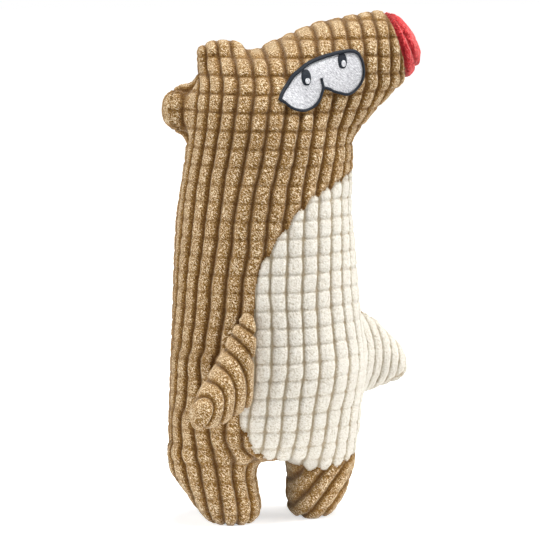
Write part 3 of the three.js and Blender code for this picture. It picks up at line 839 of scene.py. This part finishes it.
brown_girth = Girth(TRUNK_NODES, *TRUNK_LEVELS, NECK.y, BROWN_FRONT_GROOVE)
cream_girth = Girth(TRUNK_NODES, *BELLY_LEVELS, NECK.y, CREAM_FRONT_GROOVE)
left_leg_girth = Girth(sewn("leg_left"), *LEG_LEVELS, legs["leg_left"].y, BROWN_FRONT_GROOVE)
brown_across = brown_girth.measure(points, front)
straight = ease_in((z - STRAIGHT_FROM) / STRAIGHT_FADE)
brown_across += straight * (brown_girth.straight_up(points, front, STRAIGHT_FROM) - brown_across)
brown_across += in_lower_ear * (brown_girth.straight_up(points, front, lower_ear.z) - brown_across)
cream_across = cream_girth.measure(points, front)
straight_down = ease_in((BELLY_STRAIGHT + STRAIGHT_FADE - z) / STRAIGHT_FADE)
down_across = cream_girth.straight_up(points, front, BELLY_STRAIGHT) + BELLY_LEAN * (BELLY_STRAIGHT - z)
cream_across += straight_down * (down_across - cream_across)

# Wales run straight down the left leg, slant across the right one, and bow across the right arm
left_leg_across = left_leg_girth.measure(points, front)
right_leg_across = (side - RIGHT_LEG_GROOVE) * math.cos(RIGHT_LEG_SLANT) - z * math.sin(RIGHT_LEG_SLANT)
brown_across += in_leg["leg_left"] * (left_leg_across - brown_across)
brown_across += in_leg["leg_right"] * (right_leg_across - brown_across)
belly_bow = ease_in((side - BOW_START) / BOW_SPAN) * near(z - right_arm.z, BOW_SPREAD)
cream_across -= BOW_REACH * belly_bow
arm_across = RIGHT_ARM_GATHER * arm_out + (z - right_arm.z) ** 2 / (2 * RIGHT_ARM_BOW)
root_middle = RIGHT_ARM_ROOT + RIGHT_ARM_FADE / 2
at_root = (abs(z - right_arm.z) < ROOT_HALF_HEIGHT) & (abs(arm_out - root_middle) < ROOT_HALF_DEPTH)
root_front = at_root & (normals[:, 1] < -ROOT_FACING)
root_back = at_root & (normals[:, 1] > ROOT_FACING)
front_across = arm_across + np.mean((cream_across - arm_across)[root_front])
back_across = np.mean((brown_across + arm_across)[root_back]) - arm_across
cream_across += in_arm * (front_across - cream_across)
brown_across += in_arm * (back_across - brown_across)
arm_back = from_right_arm @ np.array([-right_arm_way[1], right_arm_way[0], 0.0])
front = np.where(arm_out > 0, arm_back < ARM_SEAM_BACK, front)

# The cloth buckles under the left arm, where the wales step aside
BUCKLES = {96.0: 2.2, 64.0: 1.6}
BUCKLE_SIDE = -22.0
BUCKLE_SIDE_FADE = 12.0
BUCKLE_HALF = 3.0
BUCKLE_LENGTH = 26.0
BUCKLE_END_FADE = 24.0
BUCKLE_DEPTH = 0.2
buckle = np.zeros_like(z)
for height, step in BUCKLES.items():
    fade = ease_in((BUCKLE_SIDE - side) / BUCKLE_SIDE_FADE) * front
    below = ease_in((height + BUCKLE_HALF - z) / (2 * BUCKLE_HALF))
    brown_across += step * fade * below * ease_in((z - height + BUCKLE_LENGTH) / BUCKLE_END_FADE)
    buckle += fade * near(z - height, BUCKLE_HALF)

# Edge of the belly as (right of middle, height): it steps from wale to wale, as each ends in a rounded tuft
BELLY_EDGE = [
    (46, 190), (41, 188), (29.6, 183), (22, 180), (13.8, 173.5), (8.7, 168), (2.6, 160), (-3.4, 152),
    (-7.3, 145.5), (-9.4, 141), (-10.8, 132.5), (-12.2, 123), (-13.9, 110), (-14.6, 88), (-15.2, 72),
    (-18.6, 63.5), (-17.6, 58), (-14.6, 51), (-8.7, 41.5), (-2.7, 37.7), (5.6, 35), (13.5, 32),
    (20, 29.5), (29, 29.3), (38.5, 31.5), (44, 33), (52, 36),
]
BELLY_FAR = 200
SCALLOP = 2.4
BELLY_SEAM = 0.6
BELLY_SEAM_FACING = 0.5
belly_outline = BELLY_EDGE + [(BELLY_FAR, BELLY_EDGE[-1][1]), (BELLY_FAR, BELLY_EDGE[0][1])]
belly_depth = outline_depth(side, z, belly_outline, left_out=3)
belly_depth = belly_depth + SCALLOP * (0.5 - abs(2 * (cream_across / WALE_PITCH % 1) - 1) ** 2)
cream = front & (belly_depth > 0)

# Place of the eyes: flat cloth, as the stitches hold the wales down, as (right of middle, above the neck)
EYE_OUTLINE = [
    (2.4, 32.2), (3.9, 35.2), (7.2, 39.5), (10.5, 43.8), (14.4, 47.0), (19.3, 50.4), (24.9, 52.8),
    (30.9, 54.6), (36.5, 55.9), (42.5, 56.5), (45.7, 55.7), (47.6, 53.3), (48.9, 49.5), (49.3, 45.6),
    (48.6, 41.2), (46.4, 37.7), (43.6, 35.1), (40.1, 33.7), (35.9, 34.6), (32.3, 35.6), (29.8, 36.9),
    (26.6, 37.8), (25.8, 35.6), (24.3, 31.7), (21.8, 28.5), (18.8, 26.8), (15.4, 26.0), (11.8, 26.5),
    (8.6, 27.7), (5.6, 30.1),
]
EYE_EASE = 1.2
eye_depth = outline_depth(side, z - NECK.z, EYE_OUTLINE)
flat = np.where(front, ease_in(eye_depth / EYE_EASE + 1), 0.0)

# Place of the nose: a cap of plush with no wales, folded once beside the seam that holds it
NOSE_SIDE = 71.5
NOSE_RISE = 60.0
NOSE_LEAN = math.radians(17)
NOSE_FOLD = 5.0
NOSE_FOLD_SLANT = 0.15
NOSE_FOLD_DEPTH = 0.8
NOSE_FOLD_WIDTH = 0.8 * SEAM_WIDTH
NOSE_TUFT = 0.6
NOSE_SEAM = 0.3
nose_out = (side - NOSE_SIDE) * math.cos(NOSE_LEAN) + (z - NECK.z - NOSE_RISE) * math.sin(NOSE_LEAN)
on_nose = nose_out > 0
nose_fold = NOSE_FOLD - NOSE_FOLD_SLANT * (z - NECK.z - NOSE_RISE)

# Seams, wales and notches come together as the height of the cloth; the finish paints shade by that height, so grooves,
# notches, seams, folds and buckles are painted darker
CREAM_NOTCH = 0.5
CREAM_NOTCH_LOSS = 0.4
NOTCH_LOSS_FROM = 20.0
NOTCH_LOSS_FADE = 40.0
BROWN_NOTCH = 0.3
HEAD_NOTCH_GAIN = 0.24
HEAD_NOTCH_FROM = 190.0
HEAD_NOTCH_FADE = 40.0
seam = near(y - seam_y, SEAM_WIDTH) * np.where(on_nose, NOSE_SEAM, 1.0)
belly_seam = BELLY_SEAM * near(belly_depth, SEAM_WIDTH) * front
belly_seam *= ease_in(-normals[:, 1] / BELLY_SEAM_FACING)
seam = np.maximum(seam, belly_seam)
seam = np.maximum(seam, near(nose_out, SEAM_WIDTH))
seam = np.maximum(seam, NOSE_FOLD_DEPTH * near(nose_out - nose_fold, NOSE_FOLD_WIDTH))
# A buckle is dented a little and, through the wale height, painted with shade.
seam = np.maximum(seam, BUCKLE_DEPTH * buckle)
across = np.where(cream, cream_across, brown_across) + WANDER * waves(points / WANDER_SPAN, WANDER_SEED)
across += WOBBLE * waves(points / WOBBLE_SPAN, WOBBLE_SEED)
along = z - CELL_START + cell_shift(across, front + 2.0 * cream)
by_arm = ease_in((side - NOTCH_LOSS_FROM) / NOTCH_LOSS_FADE) * near(z - right_arm.z, 2 * RIGHT_ARM_SPREAD)
cream_notch = CREAM_NOTCH - CREAM_NOTCH_LOSS * by_arm
brown_notch = BROWN_NOTCH + HEAD_NOTCH_GAIN * ease_in((z - HEAD_NOTCH_FROM) / HEAD_NOTCH_FADE)
notch_depth = np.where(cream, cream_notch, brown_notch)
flank = np.where(cream, CREAM_FLANK, BROWN_FLANK)
crown = np.where(cream, CREAM_CROWN, BROWN_CROWN)
wale = np.where(on_nose, WALE_MIDDLE, wale_form(across, along, notch_depth, flank, crown))
# The lower ear's end is lifted to full wale height, which also takes the painted groove shade off it.
ear_tuft = in_lower_ear * ease_in((lower_ear.x - EAR_TUFT - x) / EAR_TUFT_FADE)
wale += ear_tuft * (1 - wale)
wale_height = np.where(cream, CREAM_HEIGHT, BROWN_HEIGHT)
wale_height = wale_height * (1 - SEAM_PRESS * near(y - seam_y, SEAM_PRESS_WIDTH))
raise_pile(body, wale, wale_height, np.where(on_nose, NOSE_TUFT, PILE_HEIGHT), seam, flat)

# Finish of corduroy and plush: fine leaning strands, with painted shade where the pile lies deep and a painted
# highlight where it stands high
BLACK = (0.0, 0.0, 0.0, 1.0)
STRAND_SIZE = (1.3 * MM, 0.48 * MM, 0.48 * MM)
STRAND_LEAN = math.radians(45)
STRAND_SHARE = 3.4
GRAIN_SCALE = 1.3
GRAIN_SHARE = 0.9
GRAIN_RELIEF = 0.5
TUFT_SHADE_SHARE = 0.3
GROOVE_TOP = 0.1
GROOVE_PILE = 0.4
CLOTH_SHARE = 0.5


def threads(finish, turn, size):
    """Coordinates turned and drawn out to threads of a size, and a noise that follows them."""
    lie = finish.add(
        "Mapping",
        {"vector_type": "TEXTURE"},
        {"Vector": finish.add("TexCoord", output="Object"), "Rotation": (0.0, turn, 0.0), "Scale": size},
    )
    return lie, finish.add("TexNoise", inputs={"Vector": lie, "Scale": 1.0, "Detail": 2.0})


def corduroy(name, groove, cloth, tip_highlight, bloom, contrast, rise):
    """Pile with painted shade in its grooves and between tufts, a painted highlight on the ends of the tufts, and a
    bloom at its edges.
    """
    finish = Nodes(bpy.data.materials.new(name))
    wale_share = finish.add("Attribute", {"attribute_name": "wale"}, output="Fac")
    tuft_share = finish.add("Attribute", {"attribute_name": "tuft"}, output="Fac")
    lean, strand = threads(finish, STRAND_LEAN, STRAND_SIZE)
    grain = finish.add("TexVoronoi", inputs={"Vector": lean, "Scale": GRAIN_SCALE})
    # Painted shade: the colour darkens as the wale height falls, in grooves, notches, seams and folds.
    groove_shade_ramp = finish.add("ValToRGB", {"stops": [(GROOVE_TOP, BLACK), (rise, WHITE)]}, {"Fac": wale_share})
    # Tufts, strands and grain are painted darker where their relief is low and paler where it is high: painted shade
    # and highlight, with some random tone of the fibres.
    pile = (tuft_share - 0.5) * TUFT_SHADE_SHARE + (strand - 0.5) * STRAND_SHARE + (0.5 - grain) * GRAIN_SHARE
    depth = groove_shade_ramp * CLOTH_SHARE + pile * (groove_shade_ramp * (1 - GROOVE_PILE) + GROOVE_PILE) * contrast
    # The stops run from the painted shade of the grooves through the cloth's own colour to the painted highlight on the
    # ends of the tufts.
    stops = [(0.0, paint(groove)), (CLOTH_SHARE, paint(cloth)), (1.0, paint(tip_highlight))]
    relief = {"Strength": 0.8, "Distance": 0.7 * MM, "Height": strand - GRAIN_RELIEF * grain}
    return finish.coat(
        {
            "Base Color": finish.add("ValToRGB", {"stops": stops}, {"Fac": depth}),
            "Normal": finish.add("Bump", inputs=relief),
            "Roughness": 0.95,
            "Specular IOR Level": 0.1,
            "Sheen Weight": 0.5,
            "Sheen Roughness": 0.5,
            "Sheen Tint": paint(bloom),
        }
    )


def cut_out(name, form, chosen, material):
    """A piece of a form's cloth, shaded as if it were still part of the whole."""
    shape = bmesh.new()
    shape.from_mesh(form.data)
    shape.faces.ensure_lookup_table()
    away = [shape.faces[index] for index in np.nonzero(~chosen)[0]]
    bmesh.ops.delete(shape, geom=away, context="FACES")
    mesh = meshed(name, shape)
    normals = np.zeros(len(mesh.vertices) * 3, np.float32)
    mesh.attributes["rest_normal"].data.foreach_get("vector", normals)
    mesh.normals_split_custom_set_from_vertices(normals.reshape(-1, 3))
    mesh.attributes.remove(mesh.attributes["rest_normal"])
    mesh.materials.append(material)
    return made(name, mesh)


def first_points(form):
    """The first point of each face of a form."""
    corners = np.zeros(len(form.data.loops), np.int32)
    form.data.loops.foreach_get("vertex_index", corners)
    starts = np.zeros(len(form.data.polygons), np.int32)
    form.data.polygons.foreach_get("loop_start", starts)
    return corners[starts]


def between(joint, way, start, end):
    """Start and end points of a bend, at distances from a joint along a way."""
    return {name: (joint + Vector(way) * out) * MM for name, out in (("start", start), ("end", end))}


BODY_FILL = 0.8
MEMBER_FILL = 0.7


def dress(cover, slot, replaced, fill):
    """Says which slot and which solids a padded cover stands for."""
    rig.slot(cover, slot)
    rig.replaces(cover, *replaced)
    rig.padded(cover, fill=fill)


# Cuts in the skin: each cover takes the cloth of its own panels. Where a joint bends the cloth, the cut lies
# on the side of the bend that stays still, so that the bend is inside one cover.
NECK_START = -12.0
NECK_END = 18.0
UPPER_EAR_AIM = math.radians(100)
EAR_START = -4.0
EAR_END = 3.0
UPPER_EAR_HALF = 16.0
LOWER_EAR_HALF = 19.0
LEG_START = -2.0
LEG_END = 14.0
ARM_END = 10.0

upper_ear = joint_points["ear_upper_flop"]
upper_ear_way = np.array([math.cos(UPPER_EAR_AIM), 0.0, math.sin(UPPER_EAR_AIM)])
lower_ear_way = np.array([-1.0, 0.0, 0.0])
from_upper_ear = points - np.array(upper_ear)
from_lower_ear = points - np.array(lower_ear)
upper_aside = from_upper_ear @ np.array([-upper_ear_way[2], 0.0, upper_ear_way[0]])
face_point = first_points(body)
on_upper_ear = (from_upper_ear @ upper_ear_way > EAR_START) & (abs(upper_aside) < UPPER_EAR_HALF)
on_lower_ear = (from_lower_ear @ lower_ear_way > EAR_START) & (abs(from_lower_ear[:, 2]) < LOWER_EAR_HALF)
on_arm = arm_out > 0
on_leg = (z < legs["leg_left"].z - LEG_START) & ~cream
on_head = (z > NECK.z + NECK_START) & ~on_nose & ~on_upper_ear & ~on_lower_ear & ~cream
on_belly = cream & ~on_arm
on_torso = ~(on_upper_ear | on_lower_ear | on_nose | on_arm | on_leg | on_head | on_belly)

# Torso: the brown front and back panels of the trunk, cut from wide-wale corduroy plush.
# They are sewn face to face down both sides, turned out and stuffed, so each seam lies in a groove.
# Its first colour is the painted shade of the grooves, its last the painted highlight on the ends of the tufts.
brown_corduroy = corduroy(
    "brown_corduroy", "#5c3b13", "#98723a", "#f5e5c6", bloom="#fff0d4", contrast=0.8, rise=0.95
)
torso_cover = cut_out("torso_cover", body, on_torso[face_point], brown_corduroy)
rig.ride(torso_cover, "torso")
dress(torso_cover, "brown_corduroy", TORSO_NODES, BODY_FILL)

# Belly: a panel of cream corduroy, from the throat to the crotch and round to the right seam.
# It is sewn into the brown front, and its wales end in rounded tufts at that seam.
# Its first colour is the painted shade of the grooves, its last the painted highlight on the ends of the tufts.
cream_corduroy = corduroy(
    "cream_corduroy", "#ac9c81", "#ddd8cc", "#e9e6de", bloom="#eeece6", contrast=0.45, rise=0.75
)
belly_cover = cut_out("belly_cover", body, on_belly[face_point], cream_corduroy)
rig.ride(belly_cover, "torso")
dress(belly_cover, "cream_corduroy", ["belly_panel"], BODY_FILL)

# Head: two brown corduroy panels with a long snout, sewn round their edge and stuffed.
# Its cloth runs on from the torso's, and bends at the neck when the head nods.
head_cover = cut_out("head_cover", body, on_head[face_point], brown_corduroy)
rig.blend(head_cover, "torso", "head", **between(NECK, (0, 0, 1), NECK_START, NECK_END))
dress(head_cover, "brown_corduroy", HEAD_NODES, BODY_FILL)

# Nose: a cap of red plush in two halves, stuffed with the head.
# It is sewn to the end of the snout, which leaves one soft fold beside the seam.
# Its first colour is the painted shade of the grooves, its last the painted highlight on the ends of the tufts.
red_plush = corduroy("red_plush", "#7c0c12", "#d8383e", "#f28a86", bloom="#ffc4bc", contrast=0.8, rise=0.95)
nose_cover = cut_out("nose_cover", body, on_nose[face_point], red_plush)
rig.ride(nose_cover, "head")
dress(nose_cover, "red_plush", NOSE_NODES, BODY_FILL)

# Ears: two small pads of brown corduroy with a little filling.
# Each is caught in the head's seam by its root, where it flops.
for name, joint, way, chosen in (
    ("ear_upper", upper_ear, upper_ear_way, on_upper_ear),
    ("ear_lower", lower_ear, lower_ear_way, on_lower_ear),
):
    cover = cut_out(f"{name}_cover", body, chosen[face_point], brown_corduroy)
    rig.blend(cover, "head", name, **between(joint, way, EAR_START, EAR_END))
    dress(cover, "brown_corduroy", sewn(name), MEMBER_FILL)

# Right arm: a stuffed fin with a cream front and a brown back, whose wales bow across it.
# It grows out of the right side seam, and bends there when it swings.
for half, chosen, slot, material in (
    ("front", on_arm & cream, "cream_corduroy", cream_corduroy),
    ("back", on_arm & ~cream, "brown_corduroy", brown_corduroy),
):
    cover = cut_out(f"arm_right_{half}_cover", body, chosen[face_point], material)
    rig.blend(cover, "torso", "arm_right", **between(right_arm, right_arm_way, 0.0, ARM_END))
    dress(cover, slot, [f"arm_right_{half}_panel", "arm_right_filling"], MEMBER_FILL)

# Left arm: a stuffed cone of brown corduroy that points down at the viewer, with rings of wales at its tip.
# It is made on its own and sewn to the torso's front, and its top is drawn up against the body.
LEFT_ARM_AIM = math.radians(-145)
LEFT_ARM_TIP = 26.0
LEFT_ARM_DROP = 20.8
SHOULDER_REACH = 8.0
SHOULDER_FADE = 16.0
SHOULDER_BELOW = 5.0
SHOULDER_LIFT = (0.8, -5.5, 8.5)
RING_FIRST = 6.6
RING_PITCH = 5.2
RING_HEIGHT = 1.5
RING_FLANK = 0.4
RING_EDGE = -4.5
RING_EDGE_FADE = 2.5
RING_STRETCH = 0.65
RING_SLANT = math.radians(64)
RING_WANDER = 1.5 * WANDER
RING_WANDER_SPAN = 14.0
LEFT_ARM_START = -6.0
LEFT_ARM_END = 6.0
left_arm = joint_points["arm_left_swing"]
left_arm_way = np.array([math.cos(LEFT_ARM_AIM), math.sin(LEFT_ARM_AIM), 0.0])
arm_left_cover = stuffed("arm_left_cover", sewn("arm_left"), at_seam_or_floor)
arm_points = read_points(arm_left_cover.data)
by_root = ease_in((SHOULDER_REACH - (arm_points - np.array(left_arm)) @ left_arm_way) / SHOULDER_FADE)
by_root *= ease_in((arm_points[:, 2] - left_arm.z + SHOULDER_BELOW) / SHOULDER_FADE)
arm_points += by_root[:, None] * np.array(SHOULDER_LIFT)
write_points(arm_left_cover.data, arm_points)
arm_tip = np.array(left_arm) + left_arm_way * LEFT_ARM_TIP - np.array([0, 0, LEFT_ARM_DROP])
from_tip = arm_points - arm_tip
tip_right = from_tip @ np.array([math.cos(VIEW_TURN), math.sin(VIEW_TURN), 0.0])
ring_along = tip_right * math.cos(RING_SLANT) + from_tip[:, 2] * math.sin(RING_SLANT)
ring_aside = tip_right * math.sin(RING_SLANT) - from_tip[:, 2] * math.cos(RING_SLANT)
rings = (np.hypot(ring_aside, ring_along * RING_STRETCH) - RING_FIRST) * WALE_PITCH / RING_PITCH
rings += RING_WANDER * waves(arm_points / RING_WANDER_SPAN, RING_SEED)
rings = np.maximum(rings, -WALE_PITCH / 2)
nothing = np.zeros_like(rings)
arm_axis = Vector(arm_tip - np.array(left_arm)).normalized()
arm_back_way = (Vector((0.0, 1.0, 0.0)) - arm_axis * arm_axis.y).normalized()
past_edge = ease_in((RING_EDGE - ring_aside) / RING_EDGE_FADE)
ring_wale = wale_form(rings, nothing, nothing, RING_FLANK, BROWN_CROWN)
back_wale = wale_form(from_tip @ np.array(arm_back_way), nothing, nothing, RING_FLANK, BROWN_CROWN)
arm_wale = ring_wale + past_edge * (back_wale - ring_wale)
raise_pile(arm_left_cover, arm_wale, RING_HEIGHT, PILE_HEIGHT, seam=nothing, flat=nothing)
arm_left_cover.data.attributes.remove(arm_left_cover.data.attributes["rest_normal"])
arm_left_cover.data.materials.append(brown_corduroy)
left_arm_bend = between(left_arm, left_arm_way, LEFT_ARM_START, LEFT_ARM_END)
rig.blend(arm_left_cover, "torso", "arm_left", **left_arm_bend)
dress(arm_left_cover, "brown_corduroy", sewn("arm_left"), MEMBER_FILL)

# Legs: two short stuffed legs of brown corduroy with blunt ends, which the toy stands on.
# Each is one with the torso's cloth, and bends at the hip.
for name, hip in legs.items():
    chosen = on_leg & ((x < between_legs) == (name == "leg_left"))
    cover = cut_out(f"{name}_cover", body, chosen[face_point], brown_corduroy)
    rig.blend(cover, "torso", name, **between(hip, (0, 0, -1), LEG_START, LEG_END))
    dress(cover, "brown_corduroy", sewn(name), MEMBER_FILL)

bpy.data.objects.remove(body)

# Eyes: embroidered on the head panel in satin stitch, before the panels are sewn together.
# The white field is worked first, then its dark border with a thicker upper lid, then pupils and glints.
EYE_NOTCH = [(25.6, 42.7), (26.0, 40.2), (26.6, 37.6)]
EYE_CORNERS = (0, 21)
LID = range(0, 11)
BORDER_WIDTH = 1.5
LID_WIDTH = 2.0
FIELD_STAND = 0.7
FIELD_GRID = 0.5
FIELD_MARGIN = 1.0
FIELD_EDGE = BORDER_WIDTH / 3
BORDER_STAND = 0.9
PUPIL_THICK = 0.5
PUPIL_STAND = 0.8
GLINT_THICK = 0.4
GLINT_STAND = 1.2
SQUARENESS = 0.75
PUPILS = {
    "pupil_left": {"middle": (17.4, 43.1), "half": (2.6, 4.2)},
    "pupil_right": {"middle": (37.5, 51.5), "half": (2.5, 4.1)},
}
GLINTS = {
    "pupil_left": {"middle": (18.0, 41.3), "half": (1.3, 1.5)},
    "pupil_right": {"middle": (38.0, 50.1), "half": (1.2, 1.7)},
}
THREAD_SIZE = (1.5 * MM, 0.33 * MM, 0.33 * MM)
THREAD_DARK = 0.3
THREAD_LIGHT = 0.7
THREAD_ROUGHNESS = 0.45
THREAD_ROUGHNESS_GAIN = 0.25
WHITE_LIE = math.radians(40)
DARK_LIE = math.radians(-40)


def drape(form, stand):
    """Lays a flat shape on the face, standing a little proud of it."""
    places = read_points(form.data)
    for place in places:
        start = Vector((place[0], -Girth.OUTSIDE, place[2])) * MM
        place[1] += bare_body.ray_cast(start, Vector((0, 1, 0)))[0].y / MM - stand
    write_points(form.data, places)
    form.data.polygons.foreach_set("use_smooth", np.ones(len(form.data.polygons), bool))


def satin(name, dark, light, turn):
    """Satin stitch: fine close threads that lie all one way and catch the light."""
    finish = Nodes(bpy.data.materials.new(name))
    thread = threads(finish, turn, THREAD_SIZE)[1]
    stops = [(THREAD_DARK, paint(dark)), (THREAD_LIGHT, paint(light))]
    return finish.coat(
        {
            "Base Color": finish.add("ValToRGB", {"stops": stops}, {"Fac": thread}),
            "Normal": finish.add("Bump", inputs={"Strength": 0.5, "Distance": 0.4 * MM, "Height": thread}),
            "Roughness": THREAD_ROUGHNESS + THREAD_ROUGHNESS_GAIN * thread,
            "Specular IOR Level": 0.15,
        }
    )


def on_head_plane(place):
    """The point before the face that lies some way right of the middle and above the neck."""
    return Vector((NECK.x + place[0], 0.0, NECK.z + place[1])) * MM


def stitched(piece, stand, material, slot):
    """Lays a piece of stitching on the face and fixes it to the head."""
    drape(piece, stand)
    piece.data.materials.clear()
    piece.data.materials.append(material)
    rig.ride(piece, "head")
    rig.slot(piece, slot)


white_thread = satin("white_thread", "#8a8a90", "#e6e6e8", WHITE_LIE)
dark_thread = satin("dark_thread", "#0b0e13", "#242a33", DARK_LIE)

eye_x, eye_z = (np.array([point[at] for point in EYE_OUTLINE]) for at in range(2))
reach = np.array([np.ptp(eye_x), np.ptp(eye_z)]) / 2 + FIELD_MARGIN
field_middle = (eye_x.min() + eye_x.max()) / 2, (eye_z.min() + eye_z.max()) / 2
field_shape = bmesh.new()
cells = [int(2 * half / FIELD_GRID) for half in reach]
bmesh.ops.create_grid(field_shape, x_segments=cells[0], y_segments=cells[1], size=1.0)
for point in field_shape.verts:
    place = field_middle[0] + point.co.x * reach[0], field_middle[1] + point.co.y * reach[1]
    point.co = on_head_plane(place)
middles = np.array([face.calc_center_median() for face in field_shape.faces]) / MM
held_in = outline_depth(middles[:, 0] - NECK.x, middles[:, 2] - NECK.z, EYE_OUTLINE)
outside = [face for face, depth in zip(field_shape.faces, held_in) if depth < FIELD_EDGE]
bmesh.ops.delete(field_shape, geom=outside, context="FACES")
eye_whites_cover = made("eye_whites_cover", meshed("eye_whites_cover", field_shape))
stitched(eye_whites_cover, FIELD_STAND, white_thread, "white_thread")
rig.replaces(eye_whites_cover, "eye_whites")

border_curve = bpy.data.curves.new("eye_outline_cover", "CURVE")
border_curve.dimensions = "3D"
border_curve.bevel_depth = BORDER_WIDTH / 2 * MM
border_curve.bevel_resolution = 3
border_curve.resolution_u = 6
border_curve.use_fill_caps = True
for run, closed in ((EYE_OUTLINE, True), (EYE_NOTCH, False)):
    line = border_curve.splines.new("BEZIER")
    line.bezier_points.add(len(run) - 1)
    line.use_cyclic_u = closed
    for index, (knot, place) in enumerate(zip(line.bezier_points, run)):
        knot.co = on_head_plane(place)
        sharp = closed and index in EYE_CORNERS
        knot.handle_left_type = knot.handle_right_type = "VECTOR" if sharp else "AUTO"
        knot.radius = LID_WIDTH / BORDER_WIDTH if closed and index in LID else 1.0
border_line = made("eye_outline_line", border_curve)
graph = bpy.context.evaluated_depsgraph_get()
border_mesh = bpy.data.meshes.new_from_object(border_line.evaluated_get(graph))
bpy.data.objects.remove(border_line)
eye_outline_cover = made("eye_outline_cover", border_mesh)
stitched(eye_outline_cover, BORDER_STAND, dark_thread, "dark_thread")
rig.replaces(eye_outline_cover, "eye_outline")


def stitched_dot(name, middle, half, thick):
    """A small round pad of stitches before the face."""
    shape = bmesh.new()
    bmesh.ops.create_uvsphere(shape, u_segments=24, v_segments=12, radius=1.0)
    for point in shape.verts:
        point.co.x = math.copysign(abs(point.co.x) ** SQUARENESS, point.co.x)
    bmesh.ops.scale(shape, verts=shape.verts, vec=Vector((half[0], thick, half[1])) * MM)
    bmesh.ops.translate(shape, verts=shape.verts, vec=on_head_plane(middle))
    return made(name, meshed(name, shape))


for name in PUPILS:
    pupil = stitched_dot(f"{name}_cover", **PUPILS[name], thick=PUPIL_THICK)
    stitched(pupil, PUPIL_STAND, dark_thread, "dark_thread")
    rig.replaces(pupil, name)
    glint = stitched_dot(f"{name}_glint", **GLINTS[name], thick=GLINT_THICK)
    stitched(glint, GLINT_STAND, white_thread, "white_thread")

# Squeaker: a bulb blown from soft plastic, with a pleated wall and a reed in a barrel at its back.
# It lies in the torso's filling, out of sight, and sounds when its dome is pressed in and springs back.
CLOUD_SCALE = 180.0
CLOUD_DARK = 0.3
CLOUD_LIGHT = 0.7
CLOUD_ROUGHNESS = 0.4
CLOUD_ROUGHNESS_GAIN = 0.15


def moulded(name, colour, shade):
    """Slightly clouded plastic, as it comes from the mould."""
    finish = Nodes(bpy.data.materials.new(name))
    place = finish.add("TexCoord", output="Object")
    cloud = finish.add("TexNoise", inputs={"Vector": place, "Scale": CLOUD_SCALE, "Detail": 3.0})
    stops = [(CLOUD_DARK, paint(shade)), (CLOUD_LIGHT, paint(colour))]
    return finish.coat(
        {
            "Base Color": finish.add("ValToRGB", {"stops": stops}, {"Fac": cloud}),
            "Normal": finish.add("Bump", inputs={"Strength": 0.15, "Distance": 0.2 * MM, "Height": cloud}),
            "Roughness": CLOUD_ROUGHNESS + CLOUD_ROUGHNESS_GAIN * cloud,
        }
    )


bulb_plastic = moulded("bulb_plastic", "#e9e4d0", "#dcd5bd")
reed_plastic = moulded("reed_plastic", "#d8d8d4", "#c6c6c1")
for material, nodes in (
    (bulb_plastic, ("squeaker_cup", "squeaker_dome")),
    (reed_plastic, ("reed_barrel", "reed_plug", "reed_tongue")),
):
    for node in nodes:
        for material_slot in frame["nodes"][node].material_slots:
            material_slot.material = material

# The pleats fold flat against the cup as the dome is pressed through them
PLEAT_FOLDS = 5
PLEAT_WALL = 0.9
PLEAT_STEPS = 72
PLEAT_KEEP = 0.2
DOME_CLEARANCE = 0.4
pleat_low, pleat_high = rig.box("squeaker_pleats")
dome_low, dome_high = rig.box("squeaker_dome")
bulb_middle = (pleat_low + pleat_high) / 2
outer_fold = (pleat_high.z - pleat_low.z) / 2
inner_fold = (dome_high.z - dome_low.z) / 2 + (DOME_CLEARANCE + PLEAT_WALL) * MM
pleat_shape = bmesh.new()
folds = []
for fold in range(PLEAT_FOLDS):
    place = pleat_low.lerp(pleat_high, fold / (PLEAT_FOLDS - 1))
    radius = outer_fold if fold % 2 else inner_fold
    folds.append(pleat_shape.verts.new((bulb_middle.x, place.y, bulb_middle.z + radius)))
for fold_start, fold_end in zip(folds, folds[1:]):
    pleat_shape.edges.new((fold_start, fold_end))
bmesh.ops.spin(
    pleat_shape,
    geom=pleat_shape.verts[:] + pleat_shape.edges[:],
    cent=bulb_middle,
    axis=(0, 1, 0),
    angle=2 * math.pi,
    steps=PLEAT_STEPS,
    use_merge=True,
)
bmesh.ops.remove_doubles(pleat_shape, verts=pleat_shape.verts, dist=MERGE_DISTANCE)
bmesh.ops.recalc_face_normals(pleat_shape, faces=pleat_shape.faces)
bmesh.ops.solidify(pleat_shape, geom=pleat_shape.faces[:], thickness=PLEAT_WALL * MM)
squeaker_pleats_ring = made("squeaker_pleats_ring", meshed("squeaker_pleats_ring", pleat_shape))
squeaker_pleats_ring.data.materials.append(bulb_plastic)
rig.ride(squeaker_pleats_ring, "torso")
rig.replaces(squeaker_pleats_ring, "squeaker_pleats")
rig.slot(squeaker_pleats_ring, "bulb_plastic")
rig.squash(squeaker_pleats_ring, "squeaker_press", axis=(0, 1, 0), anchor=pleat_high, keep=PLEAT_KEEP)

low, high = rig.bounds()
with open("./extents.json", "w") as size_file:
    json.dump({"cad": [list(cad_low), list(cad_high)], "visual": [list(low), list(high)]}, size_file)
